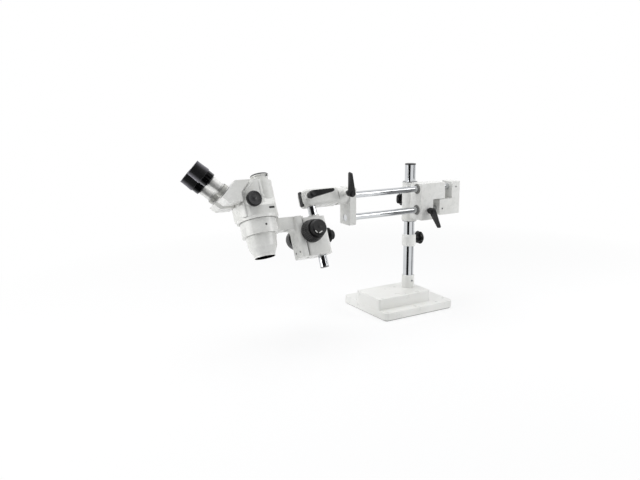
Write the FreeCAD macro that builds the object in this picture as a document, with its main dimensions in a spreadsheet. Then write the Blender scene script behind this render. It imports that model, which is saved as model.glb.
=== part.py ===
# Stereo zoom microscope on a double-arm boom stand, built piece by piece in millimetres.
# The origin is on the floor under the column. +Z is up, and the rods run along X with the microscope at -X.
import FreeCAD, Part
import math
import os
import re
import Sketcher

# Driving dimensions: name, millimetres or degrees, meaning.
SIZES = (
    ("base_length", 275, "base plate along X"),
    ("base_width", 241, "base plate along Y"),
    ("base_thick", 24.5, "base plate thickness"),
    ("base_left", 169, "column axis to the plate's -X edge"),
    ("base_front", 106, "column axis to the plate's -Y edge"),
    ("base_corner", 14, "corner radius of the plate"),
    ("edge_round", 2, "small rounding of castings"),
    ("mat_thick", 3, "rubber mat under the plate"),
    ("mat_inset", 4, "mat edge inside the plate's edge"),
    ("block_length", 207, "weight block along X"),
    ("block_width", 128, "weight block along Y"),
    ("block_thick", 36, "weight block thickness"),
    ("block_front", 71, "column axis to the block's -Y face"),
    ("socket_d", 42, "column socket outside"),
    ("socket_rise", 43, "socket above the block"),
    ("socket_sink", 12, "socket let into the block"),
    ("column_d", 35, "column outside"),
    ("column_bore", 23, "column inside"),
    ("column_top", 473, "column end above the floor"),
    ("cap_thick", 3.5, "column cap"),
    ("bolt_d", 12, "column bolt"),
    ("bolt_reach", 30, "column bolt inside the plug"),
    ("screw_d", 8, "clamp studs and block screws"),
    ("grub_d", 6, "set screws"),
    ("run_gap", 0.05, "radial running clearance"),
    ("seat_gap", 0.05, "radial clearance of fixed pieces"),
    ("part_gap", 0.3, "clearance between faces of different pieces"),
    ("collar_d", 46, "safety collar outside"),
    ("collar_length", 38, "safety collar height"),
    ("collar_z", 206, "safety collar underside"),
    ("star_d", 44, "star knob across its lobes"),
    ("star_thick", 12, "star knob thickness"),
    ("star_neck", 10, "star knob hub length"),
    ("hub_d", 50, "carriage hub outside"),
    ("hub_z", 291, "carriage hub underside"),
    ("hub_length", 126, "carriage hub height"),
    ("bush_d", 41, "column bush outside"),
    ("bush_length", 28, "column bush in the hub"),
    ("bush_flange", 2, "bush flange thickness"),
    ("rod_d", 20, "boom rods"),
    ("rod_y", -55, "rods from the column axis"),
    ("rod_z", 400.5, "upper rod above the floor"),
    ("rod_pitch", 67, "between the two rods"),
    ("carriage_x", -16, "carriage -X face"),
    ("upper_length", 95, "carriage around the upper rod"),
    ("lower_length", 47, "carriage around the lower rod"),
    ("carriage_half", 25, "rods to the carriage's +Y and -Y faces"),
    ("carriage_top", 18, "upper rod axis to the carriage top"),
    ("carriage_low", 31.5, "lower rod axis to the carriage bottom"),
    ("carriage_step", 34, "upper rod axis to the underside of the carriage's upper part"),
    ("bearing_d", 32, "ball bushing outside"),
    ("bearing_length", 40, "ball bushing length"),
    ("seal_d", 30, "rod wiper outside"),
    ("seal_thick", 4, "rod wiper thickness"),
    ("front_x", -287, "front end block -X face"),
    ("front_thick", 21, "front end block thickness"),
    ("front_half", 27.5, "front end block half width"),
    ("front_low", 19.5, "lower rod axis to the front block's underside"),
    ("front_high", 25, "upper rod axis to the front block's top"),
    ("rear_x", 59, "rear end piece, lower part -X face"),
    ("rear_length", 84, "rear end piece, lower part along X"),
    ("rear_upper", 33, "rear end piece, upper part along X"),
    ("rear_half", 24, "rear end piece half width"),
    ("rear_step", 37, "upper rod axis to the top of the rear end piece's lower part"),
    ("rear_low", 20.5, "lower rod axis to the rear piece's underside"),
    ("head_tilt", -24, "roll of the head about the upper rod"),
    ("pivot_d", 50, "pivot housing outside"),
    ("pivot_length", 35, "pivot housing along X"),
    ("tilt_boss_d", 18, "boss under the tilt lever"),
    ("tilt_boss", 9, "that boss beyond the pivot housing"),
    ("tilt_boss_z", 13, "tilt lever above the tilt axis"),
    ("spigot_d", 30, "tilt spigot"),
    ("joint_gap", 3, "open groove between housing and arm"),
    ("post_x", -408, "drop post axis along X"),
    ("post_d", 25, "drop post"),
    ("post_low", 199, "drop post below the tilt axis"),
    ("post_high", 21, "drop post above the tilt axis"),
    ("arm_nose", 29, "arm end beyond the post axis"),
    ("arm_half", 25, "arm half width"),
    ("arm_high", 23.5, "arm half height"),
    ("arm_round", 8, "arm edge radius"),
    ("slot_wide", 3, "clamp slot of the arm"),
    ("post_boss", 7, "boss under the post lever"),
    ("cover_wide", 14, "arm end cover"),
    ("cover_thick", 1.5, "arm end cover outside the arm"),
    ("focus_back", 21, "post axis to the focus block's +X face"),
    ("focus_front", 53, "post axis to the focus block's -X face"),
    ("focus_half", 28, "focus block half width"),
    ("focus_top", 59, "focus block top below the tilt axis"),
    ("focus_height", 108, "focus block height"),
    ("block_knob_z", 11, "block clamp knob below the pinion axis"),
    ("block_knob_neck", 9.5, "block clamp knob neck"),
    ("block_knob_d", 43, "block clamp knob flange"),
    ("block_grip_d", 28, "block clamp knob grip"),
    ("boss_d", 34, "post boss outside"),
    ("boss_rise", 8, "post boss above the focus block"),
    ("pinion_x", 34, "pinion axis from the post axis"),
    ("pinion_z", 100.5, "pinion axis below the tilt axis"),
    ("gear_module", 1, "tooth module of the focus rack"),
    ("pinion_teeth", 20, "teeth of the focus pinion"),
    ("gear_width", 12, "width of the focus teeth"),
    ("backlash", 0.25, "free play between teeth"),
    ("shaft_d", 10, "focus shaft"),
    ("coarse_d", 63, "focus knobs at the block"),
    ("coarse_end_d", 53, "focus knobs at the outer end"),
    ("coarse_thick", 34, "near focus knob length"),
    ("far_knob_d", 56, "far focus knob"),
    ("far_knob_thick", 26, "far focus knob length"),
    ("fine_d", 45, "end knob"),
    ("far_boss_d", 38, "bearing boss on the far side of the focus block"),
    ("far_boss", 28, "length of that boss"),
    ("fine_thick", 18, "end knob thickness"),
    ("dove_mouth", 30, "dovetail at the block's face"),
    ("dove_root", 38, "dovetail at its root"),
    ("dove_depth", 8, "dovetail depth"),
    ("slide_gap", 1.5, "slide to focus block face"),
    ("slide_thick", 20.5, "slide plate thickness"),
    ("slide_half", 27.5, "slide plate half width"),
    ("slide_top", 52, "slide top below the tilt axis"),
    ("slide_height", 115, "slide height"),
    ("slide_screw", 16, "slide screws above the slide's lower end"),
    ("rack_thick", 4, "rack back to pitch line"),
    ("holder_gusset", 15, "hollow corner under the holder arm"),
    ("holder_half", 18, "holder arm half width"),
    ("holder_height", 34, "holder arm height"),
    ("ring_x", -582, "optical axis along X"),
    ("ring_d", 100, "holder ring outside"),
    ("ring_top", 50, "body flange underside below the tilt axis"),
    ("ring_height", 40, "holder ring height"),
    ("barrel_d", 84, "objective barrel"),
    ("barrel_mid_d", 77, "objective barrel where it narrows"),
    ("barrel_end_d", 57, "objective barrel end"),
    ("barrel_neck", 97, "straight barrel to this depth"),
    ("barrel_mid", 124, "narrowing barrel to this depth"),
    ("barrel_low", 150, "barrel end below the tilt axis"),
    ("wall", 3.5, "housing walls"),
    ("flange_d", 114, "body flange"),
    ("flange_thick", 8, "body flange thickness"),
    ("drum_half", 46, "round lower body half width"),
    ("drum_side", -16, "top of the lower body's upright sides"),
    ("drum_top", 8, "top of the lower body's shoulders"),
    ("nose_step", 9, "body's -X face drawn in at the flange"),
    ("tower_d", 60, "round tower under the camera port"),
    ("box_back", 14, "optical axis to the end of the flat upper body"),
    ("body_half", 40, "flat upper body half width"),
    ("body_back", 58.5, "optical axis to the body's +X face"),
    ("body_nose", 62, "optical axis to the body's -X face"),
    ("body_top", 58, "body top above the tilt axis"),
    ("ledge_z", -8, "ledge under the prism housings"),
    ("ledge_x", 49, "optical axis to the ledge's inner end"),
    ("slant_rise", 33, "height of the 45 degree face"),
    ("port_x", 32, "camera port from the optical axis"),
    ("port_d", 46, "camera port outside"),
    ("port_rise", 16, "camera port height"),
    ("port_cap_d", 50, "port cap outside"),
    ("port_cap_thick", 6, "port cap thickness"),
    ("zoom_x", 22, "zoom shaft from the optical axis"),
    ("zoom_z", 0.5, "zoom shaft above the tilt axis"),
    ("zoom_boss_d", 48, "zoom boss at the body"),
    ("zoom_boss_end", 38, "zoom boss at the knob"),
    ("zoom_boss_rise", 9, "zoom boss height"),
    ("zoom_knob_d", 42, "zoom knobs"),
    ("zoom_knob_thick", 11, "zoom knob thickness"),
    ("zoom_shaft_d", 8, "zoom shaft"),
    ("prism_inner", 12, "middle plane to the prism housings"),
    ("prism_wide", 40, "prism housing width"),
    ("prism_top", 55, "prism housing top above the tilt axis"),
    ("prism_low", -2, "prism housing underside above the tilt axis"),
    ("prism_depth", 32.5, "prism housing along the eyepiece axis"),
    ("eye_offset", 49.5, "eyepiece axis below the housing hinge, along the face"),
    ("face_reach", 25, "eyepiece axis to the lower edge of the housing"),
    ("prism_back", 4, "prism housing to the wall under the slanted face"),
    ("prism_gap", 1, "prism housing to the slanted face"),
    ("prism_wall", 3, "prism housing wall"),
    ("ipd_half", 32, "half the distance between the eyepieces"),
    ("hinge_half", 22, "half the distance between the housing hinges"),
    ("hinge_d", 24, "housing hinge spigot"),
    ("hinge_length", 8, "housing hinge spigot length"),
    ("tube_d", 30, "eyepiece tube"),
    ("tube_bore", 25, "eyepiece tube bore"),
    ("tube_length", 47, "eyepiece tube length"),
    ("ring_wide", 10, "diopter ring length"),
    ("diopter_d", 36, "diopter ring outside"),
    ("ocular_d", 40, "eyepiece outside"),
    ("ocular_length", 28, "eyepiece outer length"),
    ("cup_d", 42, "eyecup rim"),
    ("cup_length", 36, "eyecup length"),
    ("ocular_wall", 2, "eyepiece barrel wall"),
    ("lens_d", 40, "objective lens"),
    ("zoom_lens_d", 16, "zoom lenses"),
    ("zoom_lens_half", 14, "half the distance between the zoom lenses"),
    ("lever_hub", 20, "clamp lever hub"),
    ("lever_rise", 26, "clamp lever hub height"),
    ("lever_reach", 62, "clamp lever arm"),
    ("short_reach", 55, "arm of the rod lever"),
    ("lever_wide", 20, "clamp lever arm at the hub"),
    ("lever_thick", 10, "clamp lever arm, flat way"),
    ("lever_step", 4, "clamp lever's narrow foot"),
    ("lever_tip", 8.5, "clamp lever arm at the tip"),
)
VALUES = {name: value for name, value, meaning in SIZES}

doc = FreeCAD.newDocument("microscope")
sheet = doc.addObject("Spreadsheet::Sheet", "sizes")
for row, (name, value, meaning) in enumerate(SIZES, start=1):
    sheet.set(f"A{row}", meaning)
    sheet.set(f"B{row}", str(value))
    sheet.setAlias(f"B{row}", name)
doc.recompute()

PIECES = []


def cell(text):
    """The expression with each driving dimension written as a cell of the sheet."""
    return re.sub(r"[a-z]\w*", lambda word: "sizes." + word[0] if word[0] in VALUES else word[0], str(text))


def number(text):
    """The expression's value now, in millimetres or degrees."""
    answer = sheet.evalExpression(cell(text))
    return float(getattr(answer, "Value", answer))


def placed(at=("0", "0", "0"), axis=(0, 0, 1), angle="0", parent=None):
    """Expression of a placement: a point, a turn about an axis, and the frame that carries it."""
    point = "; ".join(cell(value) for value in at)
    turn = "; ".join(str(value) for value in axis)
    local = (f"create(<<placement>>; create(<<vector>>; {point}); "
             f"create(<<rotation>>; create(<<vector>>; {turn}); {cell(angle)}))")
    return f"{parent.Name}.Placement * {local}" if parent else local


def frame(name, at, axis=(0, 0, 1), angle="0", parent=None):
    """A coordinate frame that pieces are placed by."""
    made = doc.addObject("Part::LocalCoordinateSystem", name)
    made.setExpression("Placement", placed(at, axis, angle, parent))
    doc.recompute()
    return made


def piece(label, shape_object, carrier=None):
    """Names a finished piece and puts it where its frame is."""
    shape_object.Label = label
    if carrier is not None:
        shape_object.setExpression("Placement", f"{carrier.Name}.Placement")
    PIECES.append(shape_object)
    return shape_object


TURNS = {"Z": ((0, 0, 1), "0"), "-Z": ((1, 0, 0), "180"), "X": ((0, 1, 0), "90"), "-X": ((0, 1, 0), "-90"),
         "Y": ((1, 0, 0), "-90"), "-Y": ((1, 0, 0), "90")}


def rod(name, diameter, length, at=("0", "0", "0"), along="Z"):
    """A plain cylinder that starts at a point and runs along an axis."""
    made = doc.addObject("Part::Cylinder", name)
    made.setExpression("Radius", f"({cell(diameter)}) / 2")
    made.setExpression("Height", cell(length))
    made.setExpression("Placement", placed(at, *TURNS[along]))
    return made


def cone(name, start_d, end_d, length, at=("0", "0", "0"), along="Z"):
    """A cone that starts at a point and runs along an axis."""
    made = doc.addObject("Part::Cone", name)
    made.setExpression("Radius1", f"({cell(start_d)}) / 2")
    made.setExpression("Radius2", f"({cell(end_d)}) / 2")
    made.setExpression("Height", cell(length))
    made.setExpression("Placement", placed(at, *TURNS[along]))
    return made


def box(name, low, size):
    """A plain block from its low corner."""
    made = doc.addObject("Part::Box", name)
    for side, value in zip(("Length", "Width", "Height"), size):
        made.setExpression(side, cell(value))
    made.setExpression("Placement", placed(low))
    return made


def joined(name, *shapes):
    """Pieces made as one."""
    made = doc.addObject("Part::MultiFuse", name)
    made.Shapes = list(shapes)
    made.Refine = True
    return made


def group(name, *shapes):
    """Like solids kept apart under one name."""
    made = doc.addObject("Part::Compound", name)
    made.Links = list(shapes)
    return made


def cut(name, base, *tools):
    """A piece with other shapes taken out of it."""
    made = doc.addObject("Part::Cut", name)
    made.Base = base
    made.Tool = tools[0] if len(tools) == 1 else joined(name + "_tools", *tools)
    made.Refine = True
    return made


def common(name, *shapes):
    """What shapes have in common."""
    made = doc.addObject("Part::MultiCommon", name)
    made.Shapes = list(shapes)
    return made


def outline(body, name, plane, points):
    """A closed sketch on one of the body's own planes, each corner tied to its two expressions."""
    sketch = body.newObject("Sketcher::SketchObject", name)
    sketch.AttachmentSupport = ([each for each in body.Origin.OriginFeatures if each.Role == plane][0], "")
    sketch.MapMode = "FlatFace"
    corners = [FreeCAD.Vector(number(across), number(up), 0) for across, up in points]
    count = len(corners)
    for index in range(count):
        sketch.addGeometry(Part.LineSegment(corners[index], corners[(index + 1) % count]))
    for index in range(count):
        sketch.addConstraint(Sketcher.Constraint("Coincident", index, 2, (index + 1) % count, 1))
    for index, (across, up) in enumerate(points):
        for kind, text, place, axis in (("DistanceX", across, corners[index].x, -2),
                                        ("DistanceY", up, corners[index].y, -1)):
            if text == "0":
                sketch.addConstraint(Sketcher.Constraint("PointOnObject", index, 1, axis))
            else:
                which = sketch.addConstraint(Sketcher.Constraint(kind, -1, 1, index, 1, place))
                sketch.setExpression(f"Constraints[{which}]", cell(text))
    return sketch


def turned(name, points):
    """A body turned about Z from its half outline: radius and height of each corner."""
    body = doc.addObject("PartDesign::Body", name)
    sketch = outline(body, name + "_outline", "XZ_Plane", points)
    turn = body.newObject("PartDesign::Revolution", name + "_turn")
    turn.Profile = sketch
    turn.ReferenceAxis = (sketch, ["V_Axis"])
    turn.Angle = 360
    doc.recompute()
    return body


def padded(name, plane, points, length, both_ways=False, reverse=False):
    """A body padded from an outline, square to the plane."""
    body = doc.addObject("PartDesign::Body", name)
    sketch = outline(body, name + "_outline", plane, points)
    pad = body.newObject("PartDesign::Pad", name + "_pad")
    pad.Profile = sketch
    pad.setExpression("Length", cell(length))
    pad.Midplane = both_ways
    pad.Reversed = reverse
    doc.recompute()
    return body


def along(edge, direction):
    """True for a straight edge that runs along a direction."""
    if edge.Curve.TypeId != "Part::GeomLine":
        return False
    return abs(edge.Curve.Direction.dot(FreeCAD.Vector(*direction))) > 0.999


def softened(body, radius, chosen, name="round"):
    """Rounds the chosen edges of a body."""
    last = body.Tip
    edges = [f"Edge{index}" for index, edge in enumerate(last.Shape.Edges, start=1) if chosen(edge)]
    fillet = body.newObject("PartDesign::Fillet", body.Name + "_" + name)
    fillet.Base = (last, edges)
    fillet.setExpression("Radius", cell(radius))
    doc.recompute()
    return body


def high_rim(level):
    """Chooses the edges that lie wholly at a height."""
    return lambda edge: all(abs(point.Point.z - number(level)) < 0.01 for point in edge.Vertexes)


def block(name, low, size, radius=None, direction=(0, 0, 1)):
    """A block from its low corner, with the edges along one direction rounded."""
    body = doc.addObject("PartDesign::Body", name)
    solid = body.newObject("PartDesign::AdditiveBox", name + "_box")
    for side, value in zip(("Length", "Width", "Height"), size):
        solid.setExpression(side, cell(value))
    solid.setExpression("Placement", placed(low))
    doc.recompute()
    if radius:
        softened(body, radius, lambda edge: along(edge, direction))
    return body


def tooth_flank(teeth, module, play):
    """Points of one involute gear tooth, root to tip to root, centred on +X."""
    pitch = teeth * module / 2
    base = pitch * math.cos(math.radians(20))
    root = pitch - 1.25 * module
    tip = pitch + module
    half = math.pi / (2 * teeth) - play / (4 * pitch)
    rolled = math.tan(math.radians(20)) - math.radians(20)
    flank = []
    for radius in (max(root, base), (base + pitch) / 2, pitch, (pitch + tip) / 2, tip):
        swing = math.acos(min(1, base / radius))
        flank.append((radius, half + rolled - (math.tan(swing) - swing)))
    flank.insert(0, (root, flank[0][1]))
    return [(r, -a) for r, a in flank] + [(r, a) for r, a in reversed(flank)]


def pinion_shape(teeth, module, width, play):
    """A spur pinion about Z, its middle plane at Z = 0."""
    points = []
    for index in range(teeth):
        turn = 2 * math.pi * index / teeth
        for radius, angle in tooth_flank(teeth, module, play):
            points.append(FreeCAD.Vector(radius * math.cos(turn + angle), radius * math.sin(turn + angle), -width / 2))
    face = Part.Face(Part.makePolygon(points + points[:1]))
    return face.extrude(FreeCAD.Vector(0, 0, width))


def rack_shape(module, width, low, high, thick, play):
    """A rack from low to high along Z, pitch line at X = 0, teeth to +X, with a gap centred on Z = 0."""
    pitch = math.pi * module
    lean = math.tan(math.radians(20))
    half_tip = pitch / 4 - module * lean - play / 4
    half_root = pitch / 4 + 1.25 * module * lean - play / 4
    first = math.ceil((low + half_root) / pitch - 0.5)
    last = math.floor((high - half_root) / pitch - 0.5)
    side = -width / 2
    points = [FreeCAD.Vector(-thick, side, low), FreeCAD.Vector(-1.25 * module, side, low)]
    for index in range(first, last + 1):
        middle = (index + 0.5) * pitch
        for out, half in ((-1.25 * module, -half_root), (module, -half_tip), (module, half_tip),
                          (-1.25 * module, half_root)):
            points.append(FreeCAD.Vector(out, side, middle + half))
    points += [FreeCAD.Vector(-1.25 * module, side, high), FreeCAD.Vector(-thick, side, high)]
    face = Part.Face(Part.makePolygon(points + points[:1]))
    return face.extrude(FreeCAD.Vector(0, width, 0))


def set_shape(name, shape):
    """A piece whose outline is worked out by formula."""
    made = doc.addObject("Part::Feature", name)
    made.Shape = shape
    return made


def star_knob(label, carrier, stud_reach):
    """Star knob about Z: moulded head with lobes, and a steel stud that reaches back into the clamp."""
    head = turned(label + "_head", (("0", "0"), ("star_d / 4", "0"), ("star_d / 4", "star_neck"),
                                   ("star_d / 2 - 3", "star_neck"), ("star_d / 2", "star_neck + 3"),
                                   ("star_d / 2", "star_neck + star_thick - 4"),
                                   ("star_d / 2 - 4", "star_neck + star_thick"), ("0", "star_neck + star_thick")))
    hollow = head.newObject("Sketcher::SketchObject", label + "_hollow")
    hollow.AttachmentSupport = ([each for each in head.Origin.OriginFeatures if each.Role == "XY_Plane"][0], "")
    hollow.MapMode = "FlatFace"
    hollow.addGeometry(Part.Circle(FreeCAD.Vector(VALUES["star_d"] * 0.62, 0, 0), FreeCAD.Vector(0, 0, 1), VALUES["star_d"] * 0.22))
    hollow.addConstraint(Sketcher.Constraint("PointOnObject", 0, 3, -1))
    hollow.addConstraint(Sketcher.Constraint("DistanceX", -1, 1, 0, 3, VALUES["star_d"] * 0.62))
    hollow.setExpression("Constraints[1]", cell("star_d * 0.62"))
    hollow.addConstraint(Sketcher.Constraint("Radius", 0, VALUES["star_d"] * 0.22))
    hollow.setExpression("Constraints[2]", cell("star_d * 0.22"))
    doc.recompute()
    scoop = head.newObject("PartDesign::Pocket", label + "_scoop")
    scoop.Profile = hollow
    scoop.Type = 1
    scoop.Midplane = True
    doc.recompute()
    ring = head.newObject("PartDesign::PolarPattern", label + "_lobes")
    ring.Originals = [scoop]
    ring.Axis = (hollow, ["N_Axis"])
    ring.Angle = 360
    ring.Occurrences = 6
    head.Tip = ring
    doc.recompute()
    stud = rod(label + "_stud", "screw_d", f"{stud_reach} + star_neck", ("0", "0", f"-({stud_reach})"))
    return piece(label, joined(label + "_knob", head, stud), carrier)


def clamp_lever(label, carrier, stud_reach, reach="lever_reach"):
    """Clamp lever: hub about Z, flat tapered arm along +X that leans outwards, and a stud that reaches back."""
    hub = turned(label + "_hub", (("0", "0"), ("lever_hub / 2 - 3", "0"), ("lever_hub / 2 - 3", "lever_step"),
                                  ("lever_hub / 2", "lever_step + 2"), ("lever_hub / 2", "lever_rise - 3"),
                                  ("lever_hub / 2 - 3", "lever_rise"), ("0", "lever_rise")))
    arm = padded(label + "_arm", "XY_Plane", (("0", "-lever_wide / 2"), (reach, "-lever_tip / 2"),
                                              (reach, "lever_tip / 2"), ("0", "lever_wide / 2")), "lever_thick")
    tip = rod(label + "_tip", "lever_tip", "lever_thick", (reach, "0", "0"))
    blade = joined(label + "_blade", arm, tip)
    blade.setExpression("Placement", placed(("0", "0", "lever_rise - lever_thick - 3"), (0, 1, 0), "-12"))
    stud = rod(label + "_stud", "screw_d", f"{stud_reach} + lever_step", ("0", "0", f"-({stud_reach})"))
    return piece(label, joined(label + "_lever", hub, blade, stud), carrier)


# Base: rubber mat, steel plate, weight block and the screws that hold them.
BLOCK_TOP = "mat_thick + base_thick + block_thick"
PLATE_TOP = "mat_thick + base_thick"
COLUMN_LOW = f"({BLOCK_TOP}) - socket_sink"
SCREW_SPOTS = [(f"-base_left + {side}", f"-block_front + {depth}")
               for side in ("20", "block_length - 20") for depth in ("18", "block_width - 18")]


def make_base():
    piece("base_mat", block("base_mat", ("-base_left + mat_inset", "-base_front + mat_inset", "0"),
                            ("base_length - 2 * mat_inset", "base_width - 2 * mat_inset", "mat_thick"),
                            "base_corner - mat_inset"))
    plate = block("base_plate_form", ("-base_left", "-base_front", "mat_thick"),
                  ("base_length", "base_width", "base_thick"), "base_corner")
    softened(plate, "edge_round", high_rim(PLATE_TOP), "top_round")
    holes = [rod("bolt_hole", "bolt_d + 1", "base_thick + 2", ("0", "0", "mat_thick - 1")),
             rod("bolt_sink", "bolt_d * 1.5 + 1", "bolt_d + 2", ("0", "0", "mat_thick - 1"))]
    screws = []
    for x, y in SCREW_SPOTS:
        holes.append(rod("screw_hole", "screw_d + 1", "base_thick + 2", (x, y, "mat_thick - 1")))
        holes.append(rod("screw_sink", "screw_d * 1.5 + 2", "screw_d + 2", (x, y, "mat_thick - 1")))
        head = rod("block_screw_head", "screw_d * 1.5 + 1", "screw_d", (x, y, "mat_thick + 1"))
        shank = rod("block_screw_shank", "screw_d", "base_thick + 18", (x, y, "mat_thick + 1"))
        screws.append(joined("block_screw", head, shank))
    piece("base_plate", cut("base_plate", plate, *holes))
    piece("block_screws", group("block_screws", *screws))

    weight = block("weight_block_form", ("-base_left", "-block_front", PLATE_TOP),
                   ("block_length", "block_width", "block_thick"), "edge_round * 3")
    softened(weight, "edge_round", high_rim(BLOCK_TOP), "top_round")
    taps = [rod("screw_tap", "screw_d + 2 * seat_gap", "22", (x, y, f"{PLATE_TOP} - 1")) for x, y in SCREW_SPOTS]
    piece("weight_block", cut("weight_block", weight, *taps,
                              rod("weight_bolt_hole", "bolt_d + 1", "block_thick + 2", ("0", "0", f"{PLATE_TOP} - 1")),
                              rod("weight_socket_hole", "socket_d + 2 * seat_gap", "socket_sink + 1",
                                  ("0", "0", COLUMN_LOW))))


def make_column():
    socket = turned("socket_form", (("column_d / 2 + seat_gap", COLUMN_LOW), ("socket_d / 2", COLUMN_LOW),
                                    ("socket_d / 2", f"{BLOCK_TOP} + socket_rise - 1.5"),
                                    ("socket_d / 2 - 1.5", f"{BLOCK_TOP} + socket_rise"),
                                    ("column_d / 2 + seat_gap", f"{BLOCK_TOP} + socket_rise")))
    grub_z = f"{BLOCK_TOP} + socket_rise * 0.6"
    piece("column_socket", cut("column_socket", socket, rod("socket_tap", "grub_d + 2 * seat_gap", "socket_d",
                                                            ("0", "0", grub_z), "-Y")))
    piece("socket_screw", rod("socket_screw", "grub_d", "(socket_d - column_d) / 2 + 1",
                              ("0", "-column_d / 2 - part_gap", grub_z), "-Y"))
    piece("column", cut("column", rod("column_rod", "column_d", f"column_top - ({COLUMN_LOW})", ("0", "0", COLUMN_LOW)),
                        rod("column_inside", "column_bore", "column_top", ("0", "0", COLUMN_LOW))))
    piece("column_plug", cut("column_plug",
                             rod("plug_form", "column_bore - 2 * seat_gap", "bolt_reach + 10", ("0", "0", COLUMN_LOW)),
                             rod("plug_tap", "bolt_d + 2 * seat_gap", "bolt_reach + 2", ("0", "0", COLUMN_LOW))))
    head = rod("bolt_head", "bolt_d * 1.5", "bolt_d", ("0", "0", "mat_thick + 1"))
    shank = rod("bolt_shank", "bolt_d", f"{COLUMN_LOW} + bolt_reach - mat_thick - 1", ("0", "0", "mat_thick + 1"))
    piece("column_bolt", joined("column_bolt", head, shank))
    piece("column_cap", turned("column_cap", (("0", "column_top - 12"), ("column_bore / 2 - seat_gap", "column_top - 12"),
                                              ("column_bore / 2 - seat_gap", "column_top"),
                                              ("column_d / 2", "column_top"),
                                              ("column_d / 2", "column_top + cap_thick - 1"),
                                              ("column_d / 2 - 1", "column_top + cap_thick"),
                                              ("0", "column_top + cap_thick"))))


def make_collar():
    """Safety collar: stops the carriage from falling when its clamp is opened."""
    ring = turned("collar_form", (("column_d / 2 + run_gap", "collar_z"), ("collar_d / 2 - 3", "collar_z"),
                                  ("collar_d / 2", "collar_z + 3"), ("collar_d / 2", "collar_z + collar_length - 3"),
                                  ("collar_d / 2 - 3", "collar_z + collar_length"),
                                  ("column_d / 2 + run_gap", "collar_z + collar_length")))
    middle = "collar_z + collar_length / 2 + 3"
    tap = rod("collar_tap", "screw_d + 2 * seat_gap", "collar_d", ("0", "0", middle), "X")
    piece("safety_collar", cut("safety_collar", ring, tap))
    carrier = frame("collar_knob_frame", ("collar_d / 2 + 4", "0", middle), (0, 1, 0), "90")
    star_knob("collar_knob", carrier, "(collar_d - column_d) / 2 + 4 - part_gap")


# Carriage: slides and turns on the column, and guides the two rods of the boom.
LOWER_Z = "(rod_z - rod_pitch)"
CARRIAGE_LOW = f"({LOWER_Z} - carriage_low)"
CARRIAGE_FRONT = "(rod_y - carriage_half)"
HUB_TOP = "(hub_z + hub_length)"


def bearing_ring(name, start, height):
    """One ball bushing with its closed ends."""
    return cut(name, rod(name + "_shell", "bearing_d", "bearing_length", (start, "rod_y", height), "X"),
               rod(name + "_bore", "rod_d + 2 * run_gap", "bearing_length + 2", (f"{start} - 1", "rod_y", height), "X"))


def seal_ring(name, start, height):
    """One rod wiper."""
    return cut(name, rod(name + "_rim", "seal_d", "seal_thick", (start, "rod_y", height), "X"),
               rod(name + "_lip", "rod_d + 2 * run_gap", "seal_thick + 2", (f"{start} - 1", "rod_y", height), "X"))


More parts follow.
